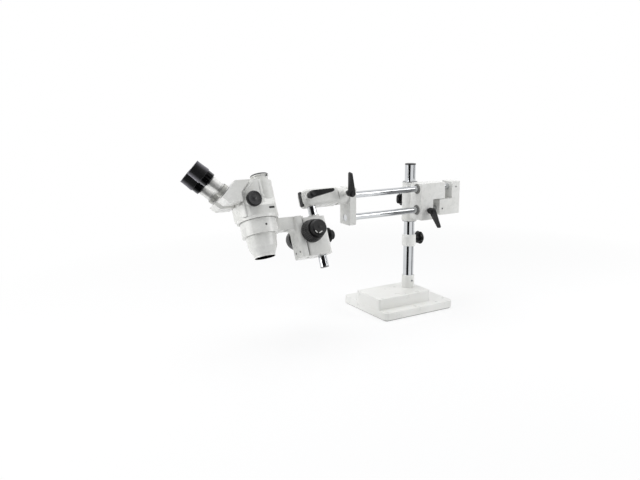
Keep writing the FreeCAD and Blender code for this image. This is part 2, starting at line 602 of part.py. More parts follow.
def make_carriage():
    bushes = []
    for name, low, sign in (("lower_bush", "hub_z", 1), ("upper_bush", HUB_TOP, -1)):
        into = f"{low} + {sign} * bush_length"
        flange = f"{low} - {sign} * part_gap"
        lip = f"{low} - {sign} * (bush_flange + part_gap)"
        bushes.append(turned(name, (("column_d / 2 + run_gap", lip), ("hub_d / 2 - 2", lip), ("hub_d / 2 - 2", flange),
                                    ("bush_d / 2", flange), ("bush_d / 2", into), ("column_d / 2 + run_gap", into))))
    piece("column_bushes", group("column_bushes", *bushes))

    body = padded("bearing_block", "XZ_Plane", (("carriage_x", CARRIAGE_LOW),
                                                ("carriage_x + lower_length", CARRIAGE_LOW),
                                                ("carriage_x + lower_length", "rod_z - carriage_step"),
                                                ("carriage_x + upper_length", "rod_z - carriage_step"),
                                                ("carriage_x + upper_length", "rod_z + carriage_top"),
                                                ("carriage_x", "rod_z + carriage_top")), "2 * carriage_half",
                  both_ways=True)
    softened(body, "edge_round", lambda edge: along(edge, (0, 1, 0)))
    body.setExpression("Placement", placed(("0", "rod_y", "0")))
    hub = rod("carriage_hub", "hub_d", "hub_length", ("0", "0", "hub_z"))
    web = box("carriage_web", ("carriage_x + 2", "rod_y + carriage_half - 4", f"{CARRIAGE_LOW} + 2"),
              ("hub_d * 0.7", "-rod_y - carriage_half", f"{HUB_TOP} - {CARRIAGE_LOW} - 4"))
    hollows = [rod("hub_bore", "bush_d + 2 * run_gap", "hub_length + 2", ("0", "0", "hub_z - 1"))]
    bearings = []
    seals = []
    first = "carriage_x + seal_thick - 1"
    last = "carriage_x + upper_length - seal_thick + 1 - bearing_length"
    for name, start, height in (("front_upper", first, "rod_z"), ("front_lower", first, LOWER_Z),
                                ("rear_upper", last, "rod_z")):
        bearings.append(bearing_ring(name + "_bearing", start, height))
    spans = (("upper", "rod_z", "upper_length"), ("lower", LOWER_Z, "lower_length"))
    for name, height, length in spans:
        hollows.append(rod(name + "_bearing_bore", "bearing_d + 2 * seat_gap", f"{length} + 2",
                           ("carriage_x - 1", "rod_y", height), "X"))
        seals.append(seal_ring(name + "_front_seal", "carriage_x - 1 - part_gap / 3", height))
        seals.append(seal_ring(name + "_rear_seal", f"carriage_x + {length} - seal_thick + 1", height))
    knob_z = "hub_z + hub_length * 0.52"
    lever_x = "carriage_x + lower_length * 0.62"
    lever_z = f"{LOWER_Z} - 1"
    hollows.append(rod("hub_knob_tap", "screw_d + 2 * seat_gap", "hub_d", ("0", "0", knob_z), "Y"))
    hollows.append(rod("rod_lever_tap", "screw_d + 2 * seat_gap", "carriage_half", (lever_x, "rod_y - rod_d / 2", lever_z), "-Y"))
    piece("carriage", cut("carriage", joined("carriage_casting", body, hub, web), *hollows))
    piece("rod_bearings", group("rod_bearings", *bearings))
    piece("rod_seals", group("rod_seals", *seals))

    star_knob("carriage_knob", frame("carriage_knob_frame", ("0", "hub_d / 2 + 1", knob_z), (1, 0, 0), "-90"),
              "hub_d / 2 + 1 - bush_d / 2 - part_gap * 3")
    facing = frame("rod_lever_face", (lever_x, f"{CARRIAGE_FRONT} - 1", lever_z), (1, 0, 0), "90")
    clamp_lever("rod_lever", frame("rod_lever_frame", ("0", "0", "0"), (0, 0, 1), "-70", facing),
                "carriage_half - bearing_d / 2 - part_gap + 1", "short_reach")


def make_boom():
    """Two rods held by a front end block and a rear end piece, which slide through the carriage."""
    rod_start = "front_x + 1"
    rod_end = "rear_x + rear_length - 1"
    for name, height in (("upper_rod", "rod_z"), ("lower_rod", LOWER_Z)):
        piece(name, rod(name, "rod_d", f"{rod_end} - ({rod_start})", (rod_start, "rod_y", height), "X"))
    front = block("front_block_form", ("front_x", "rod_y - front_half", f"{LOWER_Z} - front_low"),
                  ("front_thick", "2 * front_half", "rod_pitch + front_low + front_high"), "edge_round * 2", (1, 0, 0))
    housing = rod("pivot_form", "pivot_d", "pivot_length", ("front_x", "rod_y", "rod_z"), "-X")
    lever_x = "front_x - pivot_length / 2 + 6"
    lever_z = "rod_z + tilt_boss_z"
    boss = rod("tilt_boss_form", "tilt_boss_d", "pivot_d / 2 + tilt_boss - spigot_d / 2",
               (lever_x, "rod_y - spigot_d / 2", lever_z), "-Y")
    piece("front_block", cut("front_block", joined("front_casting", front, housing, boss),
                             rod("front_upper_hole", "rod_d + 2 * seat_gap", "front_thick + 2", (rod_start, "rod_y", "rod_z"), "X"),
                             rod("front_lower_hole", "rod_d + 2 * seat_gap", "front_thick + 4", ("front_x - 1", "rod_y", LOWER_Z), "X"),
                             rod("pivot_bore", "spigot_d + 2 * run_gap", "pivot_length - 2", ("front_x - 3", "rod_y", "rod_z"), "-X"),
                             rod("tilt_lever_tap", "screw_d + 2 * seat_gap", "pivot_d / 2 + tilt_boss + 2", (lever_x, "rod_y", lever_z), "-Y")))
    rear = padded("rear_form", "XZ_Plane", (("rear_x", f"{LOWER_Z} - rear_low"),
                                            ("rear_x + rear_length", f"{LOWER_Z} - rear_low"),
                                            ("rear_x + rear_length", "rod_z + carriage_top"),
                                            ("rear_x + rear_length - rear_upper", "rod_z + carriage_top"),
                                            ("rear_x + rear_length - rear_upper", "rod_z - rear_step"), ("rear_x", "rod_z - rear_step")),
                  "2 * rear_half", both_ways=True)
    softened(rear, "edge_round", lambda edge: along(edge, (0, 1, 0)))
    rear.setExpression("Placement", placed(("0", "rod_y", "0")))
    screw_spots = (("rear_x + rear_length - rear_upper / 2", "rod_z"), ("rear_x + 12", LOWER_Z))
    taps = [rod("rear_tap", "grub_d + 2 * seat_gap", "rear_half", (x, "rod_y - rod_d / 2", z), "-Y") for x, z in screw_spots]
    grubs = [rod("rear_grub", "grub_d", "rear_half - rod_d / 2 - 2", (x, "rod_y - rod_d / 2 - part_gap", z), "-Y")
             for x, z in screw_spots]
    piece("rear_end", cut("rear_end", rear, *taps,
                          rod("rear_upper_hole", "rod_d + 2 * seat_gap", "rear_length", ("rear_x - 1", "rod_y", "rod_z"), "X"),
                          rod("rear_lower_hole", "rod_d + 2 * seat_gap", "rear_length", ("rear_x - 1", "rod_y", LOWER_Z), "X")))
    piece("rear_screws", group("rear_screws", *grubs))
    facing = frame("tilt_lever_face", (lever_x, "rod_y - pivot_d / 2 - tilt_boss - 1", lever_z), (1, 0, 0), "90")
    clamp_lever("tilt_lever", frame("tilt_lever_frame", ("0", "0", "0"), (0, 0, 1), "103", facing),
                "pivot_d / 2 + tilt_boss + 1 - spigot_d / 2 - part_gap")


# Head: everything past the tilt joint, drawn upright about the tilt axis and rolled as one.
HEAD = frame("head_frame", ("0", "rod_y", "rod_z"), (1, 0, 0), "head_tilt")
ARM_END = "(front_x - pivot_length - joint_gap)"


def make_tilt_arm():
    nose = "post_x - arm_nose"
    bar = block("arm_form", (nose, "-arm_half", "-arm_high"), (f"{ARM_END} - ({nose})", "2 * arm_half", "2 * arm_high"),
                "arm_round", (1, 0, 0))
    softened(bar, "arm_round * 1.8", lambda edge: along(edge, (0, 0, 1)) and edge.Vertexes[0].Point.x < number("post_x"),
             "nose_round")
    clamp_x = "post_x - post_d / 2 - screw_d / 2 - 1"
    boss = rod("post_lever_boss", "tilt_boss_d", "post_boss + 10", (clamp_x, "-arm_half + 10", "0"), "-Y")
    pocket = box("cover_pocket", (f"{nose} - 1", "-cover_wide / 2 - part_gap", "-arm_high + 2 - part_gap"),
                 ("4", "cover_wide + 2 * part_gap", "2 * arm_high - 4 + 2 * part_gap"))
    piece("tilt_arm", cut("tilt_arm", joined("arm_casting", bar, boss), pocket,
                          rod("arm_post_bore", "post_d + 2 * run_gap", "2 * arm_high + 2", ("post_x", "0", "-arm_high - 1")),
                          box("arm_slot", (f"{nose} - 1", "-slot_wide / 2", "-arm_high - 1"),
                              ("arm_nose", "slot_wide", "2 * arm_high + 2")),
                          rod("arm_spigot_hole", "spigot_d - 8 + 2 * seat_gap", "22", (f"{ARM_END} + 1", "0", "0"), "-X"),
                          rod("arm_clamp_hole", "screw_d + 2 * seat_gap", "2 * arm_half + post_boss + 2", (clamp_x, "arm_half + 1", "0"), "-Y")), HEAD)
    spigot = joined("spigot_form", rod("spigot_tail", "spigot_d - 8", "20", (f"{ARM_END}", "0", "0"), "-X"),
                    rod("spigot_neck", "spigot_d + 8", "joint_gap - part_gap", (ARM_END, "0", "0"), "X"),
                    rod("spigot_barrel", "spigot_d", "pivot_length - 4", (ARM_END, "0", "0"), "X"))
    piece("tilt_spigot", spigot, HEAD)
    facing = frame("post_lever_face", (clamp_x, "-arm_half - post_boss - 1", "0"), (1, 0, 0), "90", HEAD)
    clamp_lever("post_lever", frame("post_lever_frame", ("0", "0", "0"), (0, 0, 1), "3", facing), "arm_half + post_boss + 9")
    cover = block("arm_cover", (f"{nose} - cover_thick", "-cover_wide / 2", "-arm_high + 2"),
                  ("cover_thick + 3 - part_gap / 3", "cover_wide", "2 * arm_high - 4"), "4", (1, 0, 0))
    piece("arm_cover", cover, HEAD)


def make_post():
    post = frame("post_frame", ("post_x", "0", "-post_low"), parent=HEAD)
    piece("drop_post", rod("drop_post", "post_d", "post_low + post_high"), post)
    caps = []
    for name, level, step in (("post_foot_cap", "0", -1), ("post_top_cap", "post_low + post_high", 1)):
        caps.append(turned(name, (("0", level), ("post_d / 2", level), ("post_d / 2", f"{level} + {step} * 2"),
                                  ("post_d / 2 - 1", f"{level} + {step} * 3"), ("0", f"{level} + {step} * 3"))))
    piece("post_caps", group("post_caps", *caps), post)


# Focus drive: block clamped on the post, dovetail slide, rack and pinion.
BLOCK_FACE = "(post_x - focus_front)"
SLIDE_FACE = "(post_x - focus_front - slide_gap)"
PINION_X = "(post_x - pinion_x)"
PITCH_R = "(gear_module * pinion_teeth / 2)"


def dovetail(name, gap, low, height, mouth_reach):
    """Dovetail section along the slide: narrow at the block's face, wide at its root."""
    body = padded(name, "XY_Plane", ((f"{BLOCK_FACE} - {mouth_reach}", f"-dove_mouth / 2 - {gap}"),
                                     (BLOCK_FACE, f"-dove_mouth / 2 - {gap}"),
                                     (f"{BLOCK_FACE} + dove_depth + {gap}", f"-dove_root / 2 - {gap}"),
                                     (f"{BLOCK_FACE} + dove_depth + {gap}", f"dove_root / 2 + {gap}"),
                                     (BLOCK_FACE, f"dove_mouth / 2 + {gap}"),
                                     (f"{BLOCK_FACE} - {mouth_reach}", f"dove_mouth / 2 + {gap}")), height)
    body.setExpression("Placement", placed(("0", "0", low)))
    return body


def make_focus_block():
    low = "-focus_top - focus_height"
    form = block("focus_form", (BLOCK_FACE, "-focus_half", low),
                 ("focus_front + focus_back", "2 * focus_half", "focus_height"), "arm_round")
    boss = rod("focus_boss", "boss_d", "boss_rise + 1", ("post_x", "0", "-focus_top - 1"))
    far_boss = rod("far_boss_form", "far_boss_d", "focus_half + far_boss", (PINION_X, "0", "-pinion_z"), "Y")
    knob_z = "-pinion_z - block_knob_z"
    hollows = (rod("focus_post_bore", "post_d + 2 * run_gap", "focus_height + boss_rise + 2", ("post_x", "0", f"{low} - 1")),
               dovetail("dovetail_groove", "0.1", f"{low} - 1", "focus_height + 2", "2"),
               rod("pinion_chamber", "2 * (gear_module * (pinion_teeth / 2 + 1.5))", "gear_width + 2",
                   (PINION_X, "-gear_width / 2 - 1", "-pinion_z"), "Y"),
               box("rack_chamber", (f"{BLOCK_FACE} - 1", "-gear_width / 2 - 1", f"{low} - 1"),
                   (f"{PINION_X} - {PITCH_R} + gear_module + 1 + 1 - {BLOCK_FACE}", "gear_width + 2", "focus_height + 2")),
               rod("focus_shaft_bore", "shaft_d + 2 * run_gap", "2 * focus_half + far_boss + 2", (PINION_X, "-focus_half - 1", "-pinion_z"), "Y"),
               rod("focus_knob_tap", "screw_d + 2 * seat_gap", "focus_back + 1", ("post_x", "0", knob_z), "X"))
    piece("focus_block", cut("focus_block", joined("focus_casting", form, boss, far_boss), *hollows), HEAD)
    turn = frame("focus_knob_frame", ("post_x + focus_back + 1", "0", knob_z), (0, 1, 0), "90", HEAD)
    reach = "focus_back + 1 - post_d / 2 - part_gap"
    flange = "block_knob_neck"
    head = turned("block_knob_head", (("0", "0"), ("block_grip_d / 4", "0"), ("block_grip_d / 4", flange),
                                      ("block_knob_d / 2 - 1", flange), ("block_knob_d / 2", f"{flange} + 1"),
                                      ("block_knob_d / 2", f"{flange} + 4"), ("block_knob_d / 2 - 1", f"{flange} + 5"),
                                      ("block_grip_d / 2", f"{flange} + 5"), ("block_grip_d / 2", f"{flange} + 16"),
                                      ("block_grip_d / 2 - 2", f"{flange} + 18"), ("0", f"{flange} + 18")))
    stud = rod("block_knob_stud", "screw_d", f"{reach} + {flange}", ("0", "0", f"-({reach})"))
    piece("focus_block_knob", joined("block_knob", head, stud), turn)


def make_focus_drive():
    """Pinion shaft across the block, a tapered knob on each end and a smaller end knob on the near side."""
    module = VALUES["gear_module"]
    teeth = VALUES["pinion_teeth"]
    gear = set_shape("pinion_teeth_form", pinion_shape(teeth, module, VALUES["gear_width"], VALUES["backlash"]))
    near_reach = "focus_half + part_gap + coarse_thick + fine_thick - 3"
    far_reach = "focus_half + far_boss + part_gap + far_knob_thick - 4"
    shaft = rod("focus_shaft_rod", "shaft_d", f"{near_reach} + {far_reach}", ("0", "0", f"-({near_reach})"))
    turn = frame("pinion_frame", (PINION_X, "0", "-pinion_z"), (1, 0, 0), "-90", HEAD)
    piece("focus_shaft", joined("focus_shaft", gear, shaft), turn)
    bore = "shaft_d / 2 + seat_gap"
    near = turned("near_focus_knob", ((bore, "0"), ("coarse_d / 2 - 1", "0"), ("coarse_d / 2", "1"),
                                      ("coarse_d / 2", "coarse_thick * 0.3"), ("coarse_end_d / 2", "coarse_thick - 1"),
                                      ("coarse_end_d / 2 - 1", "coarse_thick"), (bore, "coarse_thick")))
    near.setExpression("Placement", placed(("0", "0", "-focus_half - part_gap"), (1, 0, 0), "180"))
    far = turned("far_focus_knob", ((bore, "0"), ("far_knob_d / 2 - 1", "0"), ("far_knob_d / 2", "1"),
                                    ("far_knob_d / 2", "far_knob_thick - 3"), ("far_knob_d / 2 - 3", "far_knob_thick"),
                                    ("0", "far_knob_thick"), ("0", "far_knob_thick - 3.5"), (bore, "far_knob_thick - 3.5")))
    far.setExpression("Placement", placed(("0", "0", "focus_half + far_boss + part_gap")))
    piece("focus_knobs", group("focus_knobs", near, far), turn)
    end = turned("near_end_knob", (("0", "fine_thick - 2.5"), (bore, "fine_thick - 2.5"), (bore, "part_gap"),
                              ("fine_d / 2", "part_gap"), ("fine_d / 2", "fine_thick - 3"),
                              ("fine_d / 2 - 3", "fine_thick"), ("0", "fine_thick")))
    end.setExpression("Placement", placed(("0", "0", "-focus_half - part_gap - coarse_thick"), (1, 0, 0), "180"))
    piece("end_knob", group("end_knob", end), turn)


def make_slide():
    low = "-slide_top - slide_height"
    plate = block("slide_plate", (f"{SLIDE_FACE} - slide_thick", "-slide_half", low),
                  ("slide_thick", "2 * slide_half", "slide_height"))
    softened(plate, "slide_thick / 2.5", lambda edge: along(edge, (0, 0, 1)) and edge.Vertexes[0].Point.x < number(SLIDE_FACE) - 1)
    tail = dovetail("slide_tail", "0", low, "slide_height", "(slide_gap + 2)")
    slot = box("rack_slot", (f"{PINION_X} - {PITCH_R} - rack_thick - seat_gap", "-gear_width / 2 - seat_gap", f"{low} - 1"),
               ("30", "gear_width + 2 * seat_gap", "slide_height + 2"))
    screw_z = f"{low} + slide_screw"
    screw_x = f"{SLIDE_FACE} - slide_thick"
    taps = [rod("slide_tap", "grub_d + 2 * seat_gap", "10", (screw_x, f"{side} * slide_half * 0.46 - 4", screw_z), "X") for side in (-1, 1)]
    piece("focus_slide", cut("focus_slide", joined("slide_form", plate, tail), slot, *taps), HEAD)
    screws = [rod("slide_screw", "grub_d", "8", (f"{screw_x} + 0.5", f"{side} * slide_half * 0.46 - 4", screw_z), "X") for side in (-1, 1)]
    screws.append(rod("ring_screw", "grub_d", "(ring_d - barrel_d) / 2 - 1.5",
                      ("ring_x", "-barrel_d / 2 - part_gap", "-ring_top - ring_height / 2"), "-Y"))
    piece("holder_screws", group("holder_screws", *screws), HEAD)
    above = VALUES["pinion_z"] - VALUES["slide_top"] - 1.5
    rack = set_shape("rack", rack_shape(VALUES["gear_module"], VALUES["gear_width"], above - VALUES["slide_height"] + 3, above,
                                        VALUES["rack_thick"], VALUES["backlash"]))
    piece("focus_rack", rack, frame("rack_frame", (f"{PINION_X} - {PITCH_R}", "0", "-pinion_z"), parent=HEAD))


def make_holder():
    """Holder arm and ring that carry the microscope."""
    bar = box("holder_bar", (f"ring_x + barrel_d / 2 + 2", "-holder_half", "-ring_top - part_gap - holder_height"),
              (f"{SLIDE_FACE} - slide_thick - part_gap / 3 - ring_x - barrel_d / 2 - 2", "2 * holder_half", "holder_height"))
    face = f"{SLIDE_FACE} - slide_thick - part_gap / 3"
    under = "-ring_top - part_gap - holder_height"
    gusset = cut("holder_gusset", box("gusset_block", (f"{face} - holder_gusset", "-holder_half", f"{under} - holder_gusset"),
                                      ("holder_gusset", "2 * holder_half", "holder_gusset + 1")),
                 rod("gusset_hollow", "2 * holder_gusset", "2 * holder_half + 2",
                     (f"{face} - holder_gusset", "-holder_half - 1", f"{under} - holder_gusset"), "Y"))
    ring = rod("holder_ring_form", "ring_d", "ring_height", ("ring_x", "0", "-ring_top - part_gap - ring_height"))
    middle = "-ring_top - ring_height / 2"
    piece("holder_ring", cut("holder_ring", joined("holder_form", bar, ring, gusset),
                             rod("holder_bore", "barrel_d + 2 * run_gap", "ring_height + 2",
                                 ("ring_x", "0", "-ring_top - ring_height - 1")),
                             rod("holder_tap", "grub_d + 2 * seat_gap", "ring_d", ("ring_x", "0", middle), "-Y")), HEAD)


# Microscope: zoom body, objective, camera port, prism housings and eyepieces.
FLANGE_TOP = "(-ring_top + flange_thick)"


def body_form(name, inset):
    """Body shape, smaller by the inset all round: flat-sided box, port tower and round drum with shoulders."""
    box_end = f"ring_x + box_back - {inset}"
    nose = f"ring_x - body_nose + {inset}"
    wall_x = f"ring_x - ledge_x + {inset}"
    roof = f"body_top - {inset}"
    upper = padded(name + "_upper", "XZ_Plane", ((box_end, FLANGE_TOP), (box_end, roof),
                                                 (f"ring_x - ledge_x + slant_rise + {inset} * 0.414", roof),
                                                 (wall_x, f"body_top - slant_rise - {inset} * 0.414"),
                                                 (wall_x, f"ledge_z - {inset}"), (nose, f"ledge_z - {inset}"),
                                                 (f"{nose} + nose_step", FLANGE_TOP)),
                   f"2 * (body_half - {inset})", both_ways=True)
    drum = rod(name + "_drum", f"2 * (body_back - {inset})", "body_top", ("ring_x", "0", FLANGE_TOP))
    sides = padded(name + "_sides", "YZ_Plane", ((f"-drum_half + {inset}", FLANGE_TOP), (f"drum_half - {inset}", FLANGE_TOP),
                                                 (f"drum_half - {inset}", f"drum_side - {inset} * 0.6"),
                                                 ("tower_d / 2 - 4", f"drum_top - {inset} * 1.4"),
                                                 ("-tower_d / 2 + 4", f"drum_top - {inset} * 1.4"),
                                                 (f"-drum_half + {inset}", f"drum_side - {inset} * 0.6")),
                   "3 * body_back", both_ways=True)
    sides.setExpression("Placement", placed(("ring_x", "0", "0")))
    keep = box(name + "_keep", (f"{wall_x}", "-drum_half", "-ring_top"), ("3 * body_back", "2 * drum_half", "2 * ring_top"))
    tower = rod(name + "_tower", f"tower_d - 2 * {inset}", f"{roof} - {FLANGE_TOP}", ("ring_x + port_x", "0", FLANGE_TOP))
    lower = common(name + "_lower", drum, sides, keep)
    return joined(name, common(name + "_box", upper, drum_column(name, inset)), lower, tower)


def drum_column(name, inset):
    """Upright cylinder that rounds the corners of the flat-sided box."""
    return rod(name + "_round", f"2 * (body_nose - {inset})", "3 * body_top", ("ring_x", "0", "-1.5 * body_top"))


def eye_frame(label, side):
    """Frame of one eyepiece housing: Z along the eyepiece, X up the slanted face, origin on the housing hinge."""
    return frame(label + "_eye_frame", ("ring_x - ledge_x + slant_rise / 2", f"{side} * hinge_half",
                                        "body_top - slant_rise / 2"), (0, 1, 0), "-45", HEAD)


def in_frame(name, shape, carrier):
    """The shape moved into a frame, still tied to it."""
    made = doc.addObject("Part::Compound", name)
    made.Links = [shape]
    made.setExpression("Placement", f"{HEAD.Name}.Placement ^ -1 * {carrier.Name}.Placement")
    return made


def make_body():
    outer = body_form("body_outer", "0")
    inner = body_form("body_inner", "wall")
    flange = rod("body_flange", "flange_d", "flange_thick", ("ring_x", "0", "-ring_top"))
    port = rod("body_port", "port_d", "port_rise + 1", ("ring_x + port_x", "0", "body_top - 1"))
    bosses = []
    for sign, way in ((-1, "-Y"), (1, "Y")):
        bosses.append(cone("zoom_boss", "zoom_boss_d", "zoom_boss_end", "zoom_boss_rise + 2",
                           ("ring_x - zoom_x", f"{sign} * (body_half - 2)", "zoom_z"), way))
    hollows = [inner, rod("body_mouth", "barrel_d - 14 + 2 * seat_gap", "flange_thick + 2", ("ring_x", "0", "-ring_top - 1")),
               rod("port_bore", "port_d - 8", "port_rise + wall + 2", ("ring_x + port_x", "0", "body_top - wall - 1")),
               rod("zoom_shaft_bore", "zoom_shaft_d + 2 * run_gap", "2 * (body_half + zoom_boss_rise + 1)",
                   ("ring_x - zoom_x", "-body_half - zoom_boss_rise - 1", "zoom_z"), "Y")]
    for label, side in (("near", -1), ("far", 1)):
        hole = rod(label + "_hinge_hole", "hinge_d + 2 * run_gap", "wall * 2 + 6", ("0", "0", "-wall * 2 - 2"))
        hollows.append(in_frame(label + "_hinge_cut", hole, eye_frame(label, side)))
    piece("zoom_body", cut("zoom_body", joined("body_casting", outer, flange, port, *bosses), *hollows), HEAD)
    cap_low = "body_top + port_rise"
    cap = turned("port_cap", (("0", f"{cap_low} - 5"), ("port_d / 2 - 4 - seat_gap", f"{cap_low} - 5"),
                              ("port_d / 2 - 4 - seat_gap", cap_low), ("port_cap_d / 2", cap_low),
                              ("port_cap_d / 2", f"{cap_low} + port_cap_thick - 1.5"),
                              ("port_cap_d / 2 - 1.5", f"{cap_low} + port_cap_thick"), ("0", f"{cap_low} + port_cap_thick")))
    piece("port_cap", cap, frame("port_frame", ("ring_x + port_x", "0", "0"), parent=HEAD))


def make_objective():
    axis = frame("objective_frame", ("ring_x", "0", "0"), parent=HEAD)
    spigot = "barrel_d / 2 - 7"
    seat = "-barrel_low + 8"
    piece("objective_barrel", turned("objective_barrel", (
        ("lens_d / 2 - 3", "-barrel_low"), ("barrel_end_d / 2", "-barrel_low"), ("barrel_end_d / 2", "-barrel_low + 5"),
        ("barrel_mid_d / 2", "-barrel_mid"), ("barrel_d / 2", "-barrel_neck"), ("barrel_d / 2", "-ring_top"),
        (spigot, "-ring_top"), (spigot, f"{FLANGE_TOP} - 1"), (f"{spigot} - 3", f"{FLANGE_TOP} - 1"),
        (f"{spigot} - 3", "-ring_top - 40"), ("lens_d / 2 + seat_gap", "-ring_top - 60"), ("lens_d / 2 + seat_gap", seat),
        ("lens_d / 2 - 3", seat))), axis)
    lens = turned("objective_lens", (("0", f"{seat} + 1"), ("lens_d / 2 - 3", seat), ("lens_d / 2", seat),
                                     ("lens_d / 2", f"{seat} + 6"), ("lens_d / 2 - 3", f"{seat} + 6"),
                                     ("0", f"{seat} + 10")))
    piece("objective_lens", lens, axis)


def make_zoom():
    """Shaft with drum across the body, a knob on each end, and the lens carriage it moves along guide rods."""
    turn = frame("zoom_frame", ("ring_x - zoom_x", "0", "zoom_z"), (1, 0, 0), "-90", HEAD)
    knob_seat = "body_half + zoom_boss_rise + part_gap"
    shaft = rod("zoom_shaft_rod", "zoom_shaft_d", f"2 * ({knob_seat}) + zoom_knob_thick", ("0", "0", f"-({knob_seat}) - zoom_knob_thick / 2"))
    drum = rod("zoom_drum", "zoom_shaft_d + 6", "30", ("0", "0", "-15"))
    piece("zoom_shaft", joined("zoom_shaft", shaft, drum), turn)
    pair = []
    for side, label in ((-1, "near"), (1, "far")):
        facing = placed(("0", "0", f"{side} * ({knob_seat})"), (1, 0, 0), "0" if side > 0 else "180")
        knob = turned(label + "_zoom_knob", (("0", "zoom_knob_thick / 2"), ("zoom_shaft_d / 2 + seat_gap", "zoom_knob_thick / 2"),
                                             ("zoom_shaft_d / 2 + seat_gap", "0"), ("zoom_knob_d / 2 - 1", "0"),
                                             ("zoom_knob_d / 2", "1"), ("zoom_knob_d / 2", "zoom_knob_thick - 2"),
                                             ("zoom_knob_d / 2 - 2", "zoom_knob_thick"), ("0", "zoom_knob_thick")))
        knob.setExpression("Placement", facing)
        pair.append(knob)
    piece("zoom_knobs", group("zoom_knobs", *pair), turn)
    lens_x = "ring_x - 2"
    plate = box("zoom_plate", (f"{lens_x} - 9", "-zoom_lens_half - 19", "-2"), ("18", "2 * (zoom_lens_half + 19)", "4"))
    mounts = [rod("zoom_mount", "zoom_lens_d + 4", "12", (lens_x, f"{side} * zoom_lens_half", "-6")) for side in (-1, 1)]
    holes = [rod("zoom_lens_hole", "zoom_lens_d", "14", (lens_x, f"{side} * zoom_lens_half", "-7")) for side in (-1, 1)]
    guides = []
    for side in (-1, 1):
        at_y = f"{side} * (zoom_lens_half + 15.5)"
        holes.append(rod("zoom_guide_hole", "3 + 2 * run_gap", "6", (f"{lens_x} + 6", at_y, "-3")))
        guides.append(rod("zoom_guide", "3", "body_top - wall + 24", (f"{lens_x} + 6", at_y, "-24")))
    piece("zoom_lenses", cut("zoom_lenses", joined("zoom_carrier", plate, *mounts), *holes), HEAD)
    piece("zoom_guides", group("zoom_guides", *guides), HEAD)


